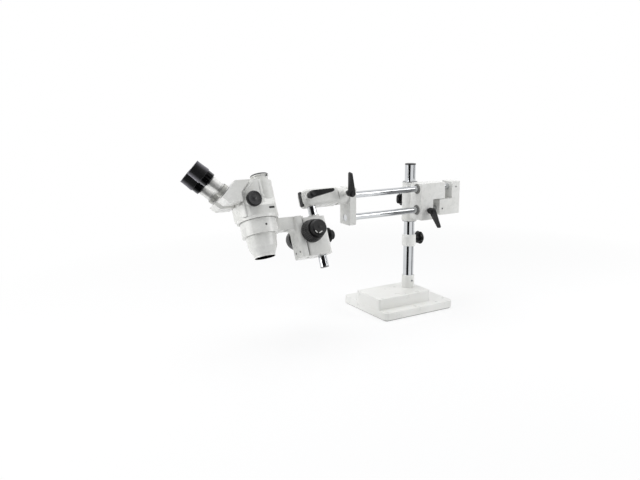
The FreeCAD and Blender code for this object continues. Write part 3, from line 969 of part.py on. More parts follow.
def make_eyepiece(label, side):
    """One prism housing with its hinge spigot, tube, diopter ring, eyepiece and eyecup."""
    eye = frame(label + "_house_frame", ("ring_x - ledge_x + slant_rise / 2", f"{side} * hinge_half",
                                         "body_top - slant_rise / 2"), (0, 1, 0), "-45", HEAD)
    across = f"{side} * (ipd_half - hinge_half)"
    middle = f"{side} * (prism_inner + prism_wide / 2 - hinge_half)"
    top = "(prism_top - body_top + slant_rise / 2) * sqrt(2)"
    low = "(prism_low - body_top + slant_rise / 2) * sqrt(2)"
    back = "-(prism_back + slant_rise / 2) * sqrt(2)"
    edge = "-eye_offset - face_reach"

    def house_form(name, inset):
        wide = f"prism_wide - 2 * {inset}"
        diagonal = f"{inset} * 1.414"
        corner = (f"({low} + {back}) / 2 + {diagonal}", f"({low} - ({back})) / 2")
        made = padded(name, "XZ_Plane", ((f"{back} + prism_gap + {diagonal}", f"prism_gap + {inset}"), corner,
                                         (f"{edge} + {inset}", f"{low} - ({edge}) + {inset} * 0.414"),
                                         (f"{edge} + {inset}", f"prism_depth - {inset}"),
                                         (f"{top} - prism_depth - {inset} * 0.414", f"prism_depth - {inset}"),
                                         (f"{top} - prism_gap - {inset} * 2.414", f"prism_gap + {inset}")), wide, both_ways=True)
        made.setExpression("Placement", placed(("0", middle, "0")))
        return made

    spigot = rod(label + "_spigot", "hinge_d", "hinge_length + prism_gap + 2", ("0", "0", "-hinge_length"))
    light = rod(label + "_light", "hinge_d - 6", "hinge_length + prism_gap + prism_wall + 2", ("0", "0", "-hinge_length - 1"))
    tube_hole = rod(label + "_tube_hole", "tube_d + 2 * seat_gap", "prism_wall + 2", ("-eye_offset", across, "prism_depth - prism_wall - 1"))
    shell = cut(label + "_prism_house", joined(label + "_house_casting", house_form(label + "_house_outer", "0"), spigot),
                house_form(label + "_house_inner", "prism_wall"), light, tube_hole)
    piece(label + "_prism_house", shell, eye)

    axis = frame(label + "_axis_frame", ("-eye_offset", across, "prism_depth"), parent=eye)
    tube = turned(label + "_tube", (("tube_bore / 2", "-prism_wall"), ("tube_d / 2", "-prism_wall"), ("tube_d / 2", "0"),
                                    ("tube_d / 2 + 2", "0"), ("tube_d / 2 + 2", "4"), ("tube_d / 2", "4"),
                                    ("tube_d / 2", "tube_length"), ("tube_bore / 2", "tube_length")))
    piece(label + "_tube", tube, axis)
    ring_low = "4 + part_gap"
    ring = turned(label + "_diopter", (("tube_d / 2 + run_gap", ring_low), ("diopter_d / 2", ring_low),
                                       ("diopter_d / 2", f"{ring_low} + ring_wide"),
                                       ("tube_d / 2 + run_gap", f"{ring_low} + ring_wide")))
    piece(label + "_diopter", ring, axis)
    seat = "tube_length + 1.5"
    barrel = "(tube_bore / 2 - run_gap)"
    ocular = turned(label + "_eyepiece", ((f"{barrel} - ocular_wall", "tube_length - 22"), (barrel, "tube_length - 22"),
                                          (barrel, seat), ("ocular_d / 2 - 4", seat), ("ocular_d / 2", f"{seat} + 6"),
                                          ("ocular_d / 2", f"{seat} + ocular_length - 4"),
                                          ("ocular_d / 2 - 3", f"{seat} + ocular_length"),
                                          ("15", f"{seat} + ocular_length"), ("15", f"{seat} + ocular_length - 6"),
                                          (f"{barrel} - ocular_wall", f"{seat} + ocular_length - 12")))
    piece(label + "_eyepiece", ocular, axis)
    lens = turned(label + "_eye_lens", (("0", f"{seat} + ocular_length - 12"), (f"{barrel} - ocular_wall - seat_gap", f"{seat} + ocular_length - 12"),
                                        ("15 - seat_gap", f"{seat} + ocular_length - 5.9"),
                                        ("15 - seat_gap", f"{seat} + ocular_length - 3"), ("0", f"{seat} + ocular_length - 1")))
    piece(label + "_eye_lens", lens, axis)
    cup_low = f"{seat} + ocular_length - 8"
    grip = "ocular_d / 2 + seat_gap"
    cup = turned(label + "_eyecup", ((grip, cup_low), (f"{grip} + 2", cup_low), (f"{grip} + 2", f"{cup_low} + 10"),
                                     ("cup_d / 2 - 1", f"{cup_low} + 18"), ("cup_d / 2", f"{cup_low} + cup_length"),
                                     ("cup_d / 2 - 2", f"{cup_low} + cup_length"), ("cup_d / 2 - 3", f"{cup_low} + 18"),
                                     ("16", f"{cup_low} + 12"), ("16", f"{cup_low} + 8.2"), (grip, f"{cup_low} + 8.2")))
    piece(label + "_eyecup", cup, axis)


make_base()
make_column()
make_collar()
make_carriage()
make_boom()
make_tilt_arm()
make_post()
make_focus_block()
make_focus_drive()
make_slide()
make_holder()
make_body()
make_objective()
make_zoom()
make_eyepiece("near", -1)
make_eyepiece("far", 1)
doc.recompute()

for made in doc.Objects:
    if "Invalid" in made.State or "Error" in made.State:
        raise RuntimeError(f"{made.Name} failed: {made.State}")
for made in PIECES:
    if made.Shape.isNull() or not made.Shape.isValid():
        raise RuntimeError(f"{made.Label} has no valid shape")
os.makedirs("parts", exist_ok=True)
for made in PIECES:
    made.Shape.exportStep(f"parts/{made.Label}.step")
    print(made.Label, len(made.Shape.Solids), round(made.Shape.Volume))
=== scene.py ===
import math

import bpy
import numpy as np
from mathutils import Matrix, Vector


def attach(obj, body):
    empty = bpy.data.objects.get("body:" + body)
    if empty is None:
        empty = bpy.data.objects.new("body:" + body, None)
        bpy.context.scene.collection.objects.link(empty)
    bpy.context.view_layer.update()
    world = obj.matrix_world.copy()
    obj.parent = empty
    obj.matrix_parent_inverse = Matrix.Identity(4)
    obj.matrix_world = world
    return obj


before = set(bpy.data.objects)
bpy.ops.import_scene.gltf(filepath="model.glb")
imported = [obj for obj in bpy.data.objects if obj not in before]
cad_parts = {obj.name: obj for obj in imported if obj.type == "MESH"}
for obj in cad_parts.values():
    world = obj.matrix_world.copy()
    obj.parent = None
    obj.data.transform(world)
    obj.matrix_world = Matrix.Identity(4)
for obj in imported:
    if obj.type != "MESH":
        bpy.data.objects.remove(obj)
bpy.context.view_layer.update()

# Camera: stands off the corner of the stand, a little above the boom, and looks slightly down.
# Its lens, place and angles were fitted to the straight rods, the column and the base.
picture_width = 640
focal_length = 628.64
film_width = 36.0
camera_place = (-1.29082, -1.60385, 0.6572)
yaw, pitch, roll = (math.radians(angle) for angle in (30.61, 11.95, -0.46))
camera_data = bpy.data.cameras.new("camera")
camera_data.sensor_width = film_width
camera_data.lens = film_width * focal_length / picture_width
camera_data.clip_end = 60.0
camera = bpy.data.objects.new("camera", camera_data)
bpy.context.scene.collection.objects.link(camera)
forward = Vector((math.sin(yaw) * math.cos(pitch), math.cos(yaw) * math.cos(pitch), -math.sin(pitch)))
level = Vector((math.cos(yaw), -math.sin(yaw), 0))
above = level.cross(forward)
right = math.cos(roll) * level + math.sin(roll) * above
up = math.cos(roll) * above - math.sin(roll) * level
camera_turn = Matrix((right, up, -forward)).transposed().to_4x4()
camera.matrix_world = Matrix.Translation(camera_place) @ camera_turn
bpy.context.scene.camera = camera
bpy.context.scene.view_settings.view_transform = "Standard"


# Mat: a die-cut sheet of black rubber, glued under the plate so that the stand can't slide on a bench.
# The moulded rubber is matt, with a fine grain that takes the shine off it.
def colour(text):
    """Linear colour of an sRGB hex value."""
    parts = [int(text[i:i + 2], 16) / 255 for i in (1, 3, 5)]
    return [c / 12.92 if c <= 0.04045 else ((c + 0.055) / 1.055) ** 2.4 for c in parts] + [1.0]


def add(tree, kind, inputs=None, **settings):
    """Adds a node with its settings. Inputs are set by name, and a socket given for one is linked to it."""
    made = tree.nodes.new(kind)
    for name, value in settings.items():
        setattr(made, name, value)
    for name, value in (inputs or {}).items():
        if isinstance(value, bpy.types.NodeSocket):
            tree.links.new(value, made.inputs[name])
        else:
            made.inputs[name].default_value = value
    return made


def surface(name, **inputs):
    """New material with one principled shader: returns the material, its tree and the shader."""
    material = bpy.data.materials.new(name)
    material.use_nodes = True
    shader = material.node_tree.nodes["Principled BSDF"]
    for key, value in inputs.items():
        shader.inputs[key.replace("_", " ")].default_value = value
    return material, material.node_tree, shader


def vary(tree, shader, socket, low, high, width):
    """Lets a socket drift between two colours or two values over soft patches in object coordinates. The
    width of a patch is in millimetres, and one such as 200 / 7 means seven patches in 200 millimetres."""
    place = add(tree, "ShaderNodeTexCoord")
    noise = add(tree, "ShaderNodeTexNoise", {"Vector": place.outputs["Object"], "Scale": 1000 / width,
                                             "Detail": 3.0})
    if isinstance(low, str):
        ramp = add(tree, "ShaderNodeValToRGB", {"Fac": noise.outputs["Fac"]})
        ramp.color_ramp.elements[0].position = 0.35
        ramp.color_ramp.elements[1].position = 0.65
        ramp.color_ramp.elements[0].color = colour(low)
        ramp.color_ramp.elements[1].color = colour(high)
        tree.links.new(ramp.outputs["Color"], shader.inputs[socket])
    else:
        span = add(tree, "ShaderNodeMapRange", {"Value": noise.outputs["Fac"], "From Min": 0.3,
                                                "From Max": 0.7, "To Min": low, "To Max": high})
        tree.links.new(span.outputs["Result"], shader.inputs[socket])


def grain(tree, shader, width, depth):
    """Fine relief in object coordinates: bumps of the given width in millimetres and depth in metres. Real
    skins are two or three times finer, and are drawn this coarse so that the render shows them."""
    place = add(tree, "ShaderNodeTexCoord")
    noise = add(tree, "ShaderNodeTexNoise", {"Vector": place.outputs["Object"], "Scale": 1000 / width,
                                             "Detail": 2.0})
    bump = add(tree, "ShaderNodeBump", {"Height": noise.outputs["Fac"], "Distance": depth, "Strength": 1.0})
    tree.links.new(bump.outputs["Normal"], shader.inputs["Normal"])


def dress(finish, *names):
    """Gives CAD nodes a material through their own slots."""
    for name in names:
        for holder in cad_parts[name].material_slots:
            holder.material = finish


rubber, tree, shader = surface("black_rubber", Specular_IOR_Level=0.3)
vary(tree, shader, "Base Color", "#0c0c0d", "#141414", 100 / 3)
vary(tree, shader, "Roughness", 0.66, 0.84, 50 / 3)
grain(tree, shader, 5 / 6, 0.00003)
dress(rubber, "base_mat")

# Base: a thick steel plate with a second block bolted on it, the column's socket and the stop collar.
# The steel is sprayed with off-white enamel, which dries with a faint orange peel and a soft gloss.
enamel, tree, shader = surface("white_enamel")
vary(tree, shader, "Base Color", "#e2e2de", "#e9e9e6", 1000 / 9)
vary(tree, shader, "Roughness", 0.26, 0.36, 200 / 7)
grain(tree, shader, 5 / 7, 0.00001)
dress(enamel, "base_plate", "weight_block", "column_socket", "safety_collar")

# Bars: the column, the two rods of the boom and the drop post, all of ground steel.
# Hard chrome on the ground face is near a mirror, with a slight haze from wiping.
chrome, tree, shader = surface("hard_chrome", Metallic=1.0)
vary(tree, shader, "Base Color", "#c9cbce", "#d2d4d6", 50)
vary(tree, shader, "Roughness", 0.05, 0.11, 200 / 9)
dress(chrome, "column", "upper_rod", "lower_rod", "drop_post")

# Turned parts: bolts, plugs, shafts, ball bushings and the column's bushes, with lips of machined steel.
# The tool leaves them bright but not polished, a little greyer where they are handled.
steel, tree, shader = surface("machined_steel", Metallic=1.0)
vary(tree, shader, "Base Color", "#8d8e90", "#a3a4a6", 12.5)
vary(tree, shader, "Roughness", 0.24, 0.38, 20 / 3)
dress(steel, "block_screws", "socket_screw", "column_plug", "column_bolt", "column_bushes", "rod_bearings",
      "rear_screws", "tilt_spigot", "post_caps", "focus_shaft", "holder_screws", "zoom_shaft", "zoom_guides")

# Rod wipers: rings of pressed grey felt in the mouths of the carriage, ahead of the ball bushings.
# The fibres swallow the light, so they look flat and slightly uneven.
felt, tree, shader = surface("grey_felt", Roughness=0.9, Specular_IOR_Level=0.2)
vary(tree, shader, "Base Color", "#777775", "#8c8c89", 10 / 3)
grain(tree, shader, 2 / 3, 0.00006)
dress(felt, "rod_seals")

# Castings: carriage, end blocks, tilt arm, focus block and slide, ring, body, barrel and prism housings.
# They are sand-blasted aluminium under the same enamel as the base, a touch greyer and smoother.
casting, tree, shader = surface("casting_enamel")
vary(tree, shader, "Base Color", "#d6d6d2", "#dededb", 500 / 7)
vary(tree, shader, "Roughness", 0.22, 0.34, 50 / 3)
grain(tree, shader, 5 / 9, 0.00001)
dress(casting, "carriage", "front_block", "rear_end", "tilt_arm", "focus_block", "focus_slide",
      "holder_ring", "zoom_body", "port_cap", "objective_barrel", "near_prism_house", "far_prism_house")

# Moulded parts: caps, clamp levers and star knobs of glass-filled black plastic on steel studs.
# The mould is spark-eroded, so the plastic comes out satin with a fine grain.
plastic, tree, shader = surface("black_plastic", Specular_IOR_Level=0.3)
vary(tree, shader, "Base Color", "#0e0e0f", "#171718", 100 / 3)
vary(tree, shader, "Roughness", 0.36, 0.5, 12.5)
grain(tree, shader, 5 / 8, 0.00003)
dress(plastic, "column_cap", "collar_knob", "carriage_knob", "rod_lever", "tilt_lever", "arm_cover",
      "post_lever", "focus_block_knob", "focus_knobs", "end_knob", "zoom_knobs")

# Rack: a bar of sintered bronze with cut teeth, set in a slot of the slide, where the pinion drives it.
# Its open pores make a warm, dull metal with a fine mottle.
bronze, tree, shader = surface("sintered_bronze", Metallic=1.0)
vary(tree, shader, "Base Color", "#8b6d42", "#9c7d50", 10 / 3)
vary(tree, shader, "Roughness", 0.36, 0.5, 5)
dress(bronze, "focus_rack")

# Optical mounts: diopter rings, eyepiece barrels and the mounts of the zoom lenses, turned from aluminium.
# Black anodising keeps the metal's sharp edges and gives them a dry, even black.
anodised, tree, shader = surface("black_anodised", Specular_IOR_Level=0.35)
vary(tree, shader, "Base Color", "#0e0e10", "#161618", 25)
vary(tree, shader, "Roughness", 0.34, 0.48, 100 / 9)
grain(tree, shader, 5 / 11, 0.00001)
dress(anodised, "near_diopter", "far_diopter", "near_eyepiece", "far_eyepiece", "zoom_lenses")

# Eyepiece tubes: plain aluminium tubes set in the prism housings.
# They are bead-blasted and clear anodised, which gives a pale satin metal.
silver, tree, shader = surface("satin_aluminium", Metallic=0.75)
vary(tree, shader, "Base Color", "#dcdcda", "#e6e6e3", 50 / 3)
vary(tree, shader, "Roughness", 0.36, 0.46, 25 / 3)
dress(silver, "near_tube", "far_tube")

# Lenses: the objective and the eye lenses, ground from crown glass and seated in their barrels.
# The coating takes their glare away and leaves a dark opening with a faint violet tint.
glass, tree, shader = surface("coated_glass", Roughness=0.03, Specular_IOR_Level=0.06, Coat_Weight=0.06)
shader.inputs["Base Color"].default_value = colour("#040506")
shader.inputs["Coat Tint"].default_value = colour("#b9c3e6")
dress(glass, "objective_lens", "near_eye_lens", "far_eye_lens")


# Clamp levers: a moulded cap with a raised ring closes the end of each hub, and a black hexagon screw in
# it holds the lever on its stud. The stand's levers are upright, the post's leans with the head.
def head(points):
    """World places of points in the head's own frame, which leans about X at the tilt pivot: a point
    (x, y, z) goes to (x, y cos + z sin, z cos - y sin) from the pivot."""
    lean = math.radians(24)
    pivot_y, pivot_z = -0.055, 0.4005
    x, y, z = np.asarray(points, float).T
    return np.column_stack([x, math.cos(lean) * y + math.sin(lean) * z + pivot_y,
                            math.cos(lean) * z - math.sin(lean) * y + pivot_z])


def stand(points):
    """Points of the stand are given in world places."""
    return np.asarray(points, float)


def fit(name, points, faces, finish, body):
    """New smooth piece with sharp edges past 38 degrees, which rides on a body."""
    mesh = bpy.data.meshes.new(name)
    mesh.from_pydata(np.asarray(points).tolist(), [], faces)
    mesh.update()
    mesh.shade_smooth()
    mesh.set_sharp_from_angle(angle=math.radians(38))
    mesh.materials.append(finish)
    made = bpy.data.objects.new(name, mesh)
    bpy.context.scene.collection.objects.link(made)
    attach(made, body)


def ring_faces(rows, steps, closed=False):
    """Quads between each ring of points and the next. Closed also joins the last ring to the first."""
    grid = np.arange(rows * steps).reshape(rows, steps)
    here = grid if closed else grid[:-1]
    following = np.roll(grid, -1, 0) if closed else grid[1:]
    corners = [here, np.roll(here, -1, 1), np.roll(following, -1, 1), following]
    return np.stack(corners, -1).reshape(-1, 4).tolist()


def square_to(axis):
    """Unit axis and two unit directions square to it and to each other."""
    axis = np.asarray(axis, float) / np.linalg.norm(axis)
    aside = np.cross(axis, (0.31, 0.87, 0.38))
    aside /= np.linalg.norm(aside)
    return axis, aside, np.cross(axis, aside)


def rings(start, axis, along, reach, angle):
    """Points start + along * axis + reach * (cos(angle) * aside + sin(angle) * other), ring after ring."""
    axis, aside, other = square_to(axis)
    points = (np.asarray(start, float) + along[:, None, None] * axis
              + (reach * np.cos(angle))[..., None] * aside + (reach * np.sin(angle))[..., None] * other)
    return points.reshape(-1, 3)


def turned(name, profile, start, axis, finish, body, flutes=0, place=head):
    """Turned form with 96 steps round, or six to a flute if that is more. Each row of the profile is way
    along the axis, radius and flute depth, and at the angle a the radius is less by
    depth * (1 - cos(flutes * a)) / 2. Where the last row reaches the axis both ends are capped, and otherwise
    it joins the first row."""
    steps = max(96, flutes * 6)
    angle = np.arange(steps) * (2 * math.pi / steps)
    along, radius, depth = np.asarray(profile, float).T
    reach = radius[:, None] - depth[:, None] * (0.5 - 0.5 * np.cos(flutes * angle))
    capped = radius[-1] < 0.0003
    faces = ring_faces(len(profile), steps, not capped)
    if capped:
        last = (len(profile) - 1) * steps
        faces += [list(range(last, last + steps)), list(range(steps - 1, -1, -1))]
    fit(name, place(rings(start, axis, along, reach, angle)), faces, finish, body)


def hex_socket(name, centre, axis, radius, finish, body, place=head):
    """End of a socket screw: a bevelled rim round a sunken hexagon, whose radius at the angle a is
    half the screw's times cos(30) / cos(a within its sixth), and a shallow cone at its floor."""
    steps = 48
    angle = np.arange(steps) * (2 * math.pi / steps)
    hexagon = 0.5 * math.cos(math.pi / 6) / np.cos(np.mod(angle, math.pi / 3) - math.pi / 6)
    round_edge = np.ones(steps)
    reach = radius * np.array([round_edge, 0.9 * round_edge, 1.12 * hexagon, hexagon, hexagon,
                               0.02 * hexagon])
    height = np.array([0.0, 0.1 * radius, 0.1 * radius, 0.03 * radius, -0.0001, -0.0003])
    faces = ring_faces(len(height), steps)
    last = (len(height) - 1) * steps
    faces += [list(range(last, last + steps)), list(range(steps - 1, -1, -1))]
    fit(name, place(rings(centre, axis, height, reach, angle)), faces, finish, body)


hub_cap = [(0.0001, 0.0069, 0), (0.0007, 0.0065, 0), (0.0008, 0.0056, 0), (0.0003, 0.0050, 0),
           (0.0002, 0.0038, 0)]
hub_screw_radius = 0.0036
for label, start, body, place in (("tilt", (-0.2985, -0.1163, 0.4135), "tilt_grip", stand),
                                  ("rod", (0.0131, -0.1073, 0.3325), "rod_grip", stand),
                                  ("post", (-0.4255, -0.0593, 0.0), "post_grip", head)):
    turned(label + "_lever_cap", hub_cap, start, (0, -1, 0), plastic, body, 0, place)
    hex_socket(label + "_lever_screw", np.add(start, (0, -0.0002, 0)), (0, -1, 0), hub_screw_radius, anodised,
               body, place)

# Star knobs of the collar and the carriage: a round cap with a raised rim, snapped over the end of the stud.
# It is moulded in the same black plastic as the knob.
star_cap = [(0.0001, 0.0098, 0), (0.0008, 0.0094, 0), (0.0010, 0.0084, 0), (0.0006, 0.0078, 0),
            (0.0007, 0.0040, 0), (0.0010, 0.0001, 0)]
turned("collar_knob_cap", star_cap, (0.049, 0.0, 0.228), (1, 0, 0), plastic, "collar_grip", 0, stand)
turned("carriage_knob_cap", star_cap, (0.0, 0.048, 0.3565), (0, 1, 0), plastic, "carriage_grip", 0, stand)

# Set screws: hexagon sockets in the ends of the screws that hold the column, rods, slide and ring.
# Those of the head are blackened with oxide, a thin dark skin on steel, and those of the stand are bright.
oxide, tree, shader = surface("black_oxide_steel", Metallic=0.6, Roughness=0.42)
vary(tree, shader, "Base Color", "#232324", "#303031", 5)
set_screw_radius = 0.0029
for name, centre, axis, finish, body, place in (
        ("column_socket_hex", (0.0000, -0.0224, 0.0893), (0, -1, 0), steel, "stand", stand),
        ("rear_socket_a", (0.1265, -0.0774, 0.4005), (0, -1, 0), steel, "boom", stand),
        ("rear_socket_b", (0.0710, -0.0774, 0.3335), (0, -1, 0), steel, "boom", stand),
        ("slide_socket_a", (-0.4826, -0.1316, 0.2693), (-1, 0, 0), oxide, "focus_carrier", stand),
        ("slide_socket_b", (-0.4826, -0.1085, 0.2590), (-1, 0, 0), oxide, "focus_carrier", stand),
        ("ring_socket", (-0.5820, -0.0489, -0.0700), (0, -1, 0), oxide, "focus_carrier", head)):
    hex_socket(name, centre, axis, set_screw_radius, finish, body, place)

# Clamp knob at the back of the focus block: a fluted flange and a turned ring on the end of its grip.
# Both are moulded with the knob, in black plastic.
block_knob = (-0.386, 0.0, -0.1115)
turned("block_knob_grip", [(0.0102, 0.0212, 0), (0.0106, 0.0217, 0.0005), (0.0134, 0.0217, 0.0005),
                           (0.0138, 0.0213, 0)], block_knob, (1, 0, 0), plastic, "block_grip", 36)
turned("block_knob_ring", [(0.0275, 0.0118, 0), (0.0278, 0.0112, 0), (0.0275, 0.0104, 0),
                           (0.0275, 0.0045, 0), (0.0279, 0.0041, 0), (0.0279, 0.0001, 0)],
       block_knob, (1, 0, 0), plastic, "block_grip")

# Focus knobs: the tapered side of the near knob and the edge of the far one are cut with fine flutes between
# a plain rim and a plain shoulder. Fingers polish the hard black plastic, so its ribs catch streaks of light.
grip, tree, shader = surface("dark_grip", Specular_IOR_Level=0.6)
vary(tree, shader, "Base Color", "#161617", "#222224", 50 / 3)
vary(tree, shader, "Roughness", 0.22, 0.34, 25 / 3)
grain(tree, shader, 2 / 3, 0.00003)
near_focus = (-0.442, -0.0283, -0.1005)
far_focus = (-0.442, 0.0563, -0.1005)
flute = 0.0013
turned("near_focus_grip", [(0.0012, 0.0312, 0), (0.0014, 0.0318, 0), (0.0030, 0.0320, 0),
                           (0.0034, 0.0321, flute), (0.0098, 0.0321, flute), (0.0112, 0.0318, flute),
                           (0.0318, 0.0273, flute), (0.0322, 0.0270, 0), (0.0332, 0.0266, 0)],
       near_focus, (0, -1, 0), grip, "focus_wheel", 36)
turned("far_focus_grip", [(0.0012, 0.0278, 0), (0.0014, 0.0284, 0), (0.0030, 0.0286, 0),
                          (0.0034, 0.0286, flute), (0.0210, 0.0286, flute), (0.0214, 0.0284, 0),
                          (0.0228, 0.0281, 0)],
       far_focus, (0, 1, 0), grip, "focus_wheel", 40)
turned("far_knob_dish", [(0.0260, 0.0230, 0), (0.0264, 0.0222, 0), (0.0261, 0.0206, 0), (0.0260, 0.0110, 0),
                         (0.0264, 0.0104, 0), (0.0264, 0.0001, 0)],
       far_focus, (0, 1, 0), plastic, "focus_wheel")

# End knob: fine flutes on its edge and a turned dish in its face, on the near end of the focus shaft.
# It is moulded in the same black plastic as the caps, with its grain left as it came from the mould.
end_knob = np.array((-0.442, -0.0623, -0.1005))
turned("end_knob_grip", [(0.0010, 0.0222, 0), (0.0014, 0.0228, 0.0003), (0.0136, 0.0228, 0.0003),
                         (0.0144, 0.0224, 0)], end_knob, (0, -1, 0), plastic, "focus_wheel", 60)
turned("end_knob_dish", [(0.0181, 0.0194, 0), (0.0184, 0.0186, 0), (0.0181, 0.0174, 0), (0.0180, 0.0120, 0),
                         (0.0181, 0.0062, 0), (0.0185, 0.0056, 0), (0.0185, 0.0001, 0)],
       end_knob, (0, -1, 0), plastic, "focus_wheel")


# Index marks: two short dashes low on the end knob's face, in pale paint that stands a little proud.
# Dry paint is matt and slightly uneven.
def bead(name, path, across, outward, width, height, finish, body, place=head):
    """Raised rounded strip on a flat face: at each path point the section is
    across * width / 2 * cos(t) + outward * height * sin(t) ** 0.7, and at the share s of the path the height
    is multiplied by sqrt(1 - (2 s - 1) ** 12), which fades both ends into the face."""
    section = np.linspace(0, math.pi, 13)
    path = np.asarray(path, float)
    across = np.asarray(across, float) / np.linalg.norm(across)
    outward = np.asarray(outward, float) / np.linalg.norm(outward)
    across = across * np.sign(np.dot(np.cross(path[-1] - path[0], across), outward))
    between = np.linspace(0, 1, 9)[:-1, None]
    parts = path[:-1, None] + between * np.diff(path, axis=0)[:, None]
    fine = np.vstack([parts.reshape(-1, 3), path[-1:]])
    swell = np.sqrt(np.clip(1 - (2 * np.linspace(0, 1, len(fine)) - 1) ** 12, 0, 1))
    rise = swell[:, None] * height * np.sin(section) ** 0.7
    spread = (width / 2 * np.cos(section))[None, :, None] * across
    points = fine[:, None] + spread + rise[..., None] * outward
    fit(name, place(points.reshape(-1, 3)), ring_faces(len(fine), len(section)), finish, body)


mark, tree, shader = surface("index_paint", Roughness=0.5)
vary(tree, shader, "Base Color", "#cfcfcb", "#dcdcd8", 5)
for label, tail, tip in (("left", (-0.0168, -0.0082), (-0.0112, -0.0154)),
                         ("right", (-0.0066, -0.0170), (0.0045, -0.0127))):
    way = np.subtract(tip, tail) / np.linalg.norm(np.subtract(tip, tail))
    bead("focus_mark_" + label, [end_knob + (spot[0], -0.0181, spot[1]) for spot in (tail, tip)],
         (-way[1], 0, way[0]), (0, -1, 0), 0.0024, 0.0003, mark, "focus_wheel")

# Slide gap shade: thin strips of black rubber in the gap between the focus block and its slide, on both
# sides, as painted shade that darkens the gap. They stay with the block while the slide runs past.
gap_middle, block_side = -0.46175, 0.0271
for label, side in (("near", -1), ("far", 1)):
    bead(label + "_slide_gap_shade", [(gap_middle, side * block_side, -0.0600),
                                  (gap_middle, side * block_side, -0.1660)],
         (1, 0, 0), (0, side, 0), 0.0014, 0.0005, rubber, "focus_body")

# Flange shade ring: a ring of grey felt between the body's flange and the ring that carries the microscope.
# Its grey is painted shade for the shadow line under the flange. It shows as a thin line, and lets the body
# turn in the ring without marking the enamel.
scope_axis = np.array((-0.582, 0, 0))
turned("flange_shade_ring", [(0.0502, 0.0480, 0), (0.0502, 0.0505, 0), (0.0507, 0.0506, 0), (0.0510, 0.0499, 0)],
       scope_axis, (0, 0, -1), felt, "focus_carrier")

# Zoom body: the rounded ribs of the casting along the slanted joint and at the end of the flat side, and an
# inset of black plastic low on the side, alike on both sides.
slant = np.array((0.7071, 0, 0.7071))
for label, side in (("near", -1), ("far", 1)):
    wall = side * 0.0399
    slant_top = np.array((-0.5945, wall, 0.0572)) + 0.0028 * np.array((0.7071, 0, -0.7071))
    bead(label + "_slant_edge", [slant_top, slant_top - 0.042 * slant], (0.7071, 0, -0.7071), (0, side, 0),
         0.0068, 0.0016, casting, "scope")
    bead(label + "_side_edge", [(-0.5722, wall, 0.0565), (-0.5722, wall, 0.0200), (-0.5690, wall, 0.0060)],
         (1, 0, 0), (0, side, 0), 0.0075, 0.0016, casting, "scope")
    bead(label + "_inset", [(-0.5630, side * 0.0459, -0.0248), (-0.5455, side * 0.0459, -0.0248)],
         (0, 0, 1), (0, side, 0), 0.0056, 0.0003, plastic, "scope")

# Camera port: a moulded black lid pressed on the cap, and the small blackened screw in the cap's side that
# clamps a camera tube.
port_axis = np.array((-0.550, 0, 0))
turned("port_edge", [(0.0770, 0.0251, 0), (0.0774, 0.0254, 0), (0.0788, 0.0253, 0), (0.0799, 0.0245, 0),
                     (0.0803, 0.0240, 0), (0.0802, 0.0150, 0), (0.0802, 0.0001, 0)],
       port_axis, (0, 0, 1), plastic, "scope")
screw_way = np.array((math.cos(math.radians(-62)), math.sin(math.radians(-62)), 0))
turned("port_screw", [(0.0, 0.0026, 0), (0.0018, 0.0027, 0), (0.0022, 0.0024, 0), (0.0022, 0.0001, 0)],
       port_axis + (0, 0, 0.0725) + 0.0245 * screw_way, screw_way, oxide, "scope")

# Objective: a black ring screwed in front of the lens, and a turned line round the barrel's cone.
# The ring has a matt lacquer that swallows stray light, so the opening looks plain black.
lacquer, tree, shader = surface("matt_black_lacquer", Roughness=0.95, Specular_IOR_Level=0.0)
vary(tree, shader, "Base Color", "#050505", "#0a0a0a", 5)
turned("lens_bezel", [(0.1498, 0.0279, 0), (0.1504, 0.0275, 0), (0.1504, 0.0170, 0), (0.1501, 0.0166, 0),
                      (0.1426, 0.0164, 0), (0.1426, 0.0176, 0), (0.1492, 0.0190, 0)],
       scope_axis, (0, 0, -1), lacquer, "scope")
turned("barrel_line", [(0.0972, 0.0418, 0), (0.0975, 0.0421, 0), (0.0981, 0.0421, 0), (0.0985, 0.0417, 0)],
       scope_axis, (0, 0, -1), casting, "scope")

# Zoom knobs: one on each side of the body, on the ends of one shaft, with a fluted edge, a rounded lip and a
# shallow dish in the face. They are moulded in the same hard plastic as the focus knobs.
for label, side in (("near", -1), ("far", 1)):
    zoom_seat = (-0.604, side * 0.0493, 0.0005)
    turned(label + "_zoom_grip", [(0.0012, 0.0208, 0), (0.0014, 0.0212, 0.0004), (0.0086, 0.0212, 0.0004),
                                  (0.0090, 0.0208, 0)], zoom_seat, (0, side, 0), grip, "zoom_wheel", 48)
    turned(label + "_zoom_dish", [(0.0109, 0.0188, 0), (0.0113, 0.0180, 0), (0.0113, 0.0172, 0),
                                  (0.0111, 0.0160, 0), (0.0111, 0.0030, 0), (0.0113, 0.0024, 0),
                                  (0.0113, 0.0001, 0)],
           zoom_seat, (0, side, 0), grip, "zoom_wheel")


# Eyepieces: dark seating rings and a knurled diopter ring on the tube, a glossy lacquered barrel and a
# rubber cup with a lip. Lacquer and rubber are deep black where they face the eye; the grey where they curve
# away is a painted sheen in their base colour, and the small faces of the knurled metal glint pale.
def painted_edge_sheen(tree, shader, facing, edge, start):
    """Painted sheen: the base colour stays as given where the surface faces the eye, and from the start share
    on rises to the edge colour where the surface turns away, as a painted grazing reflection."""
    turned_away = add(tree, "ShaderNodeLayerWeight", {"Blend": 0.5})
    ramp = add(tree, "ShaderNodeValToRGB", {"Fac": turned_away.outputs["Facing"]})
    ramp.color_ramp.elements[0].position = start
    ramp.color_ramp.elements[0].color = colour(facing)
    ramp.color_ramp.elements[1].color = colour(edge)
    tree.links.new(ramp.outputs["Color"], shader.inputs["Base Color"])


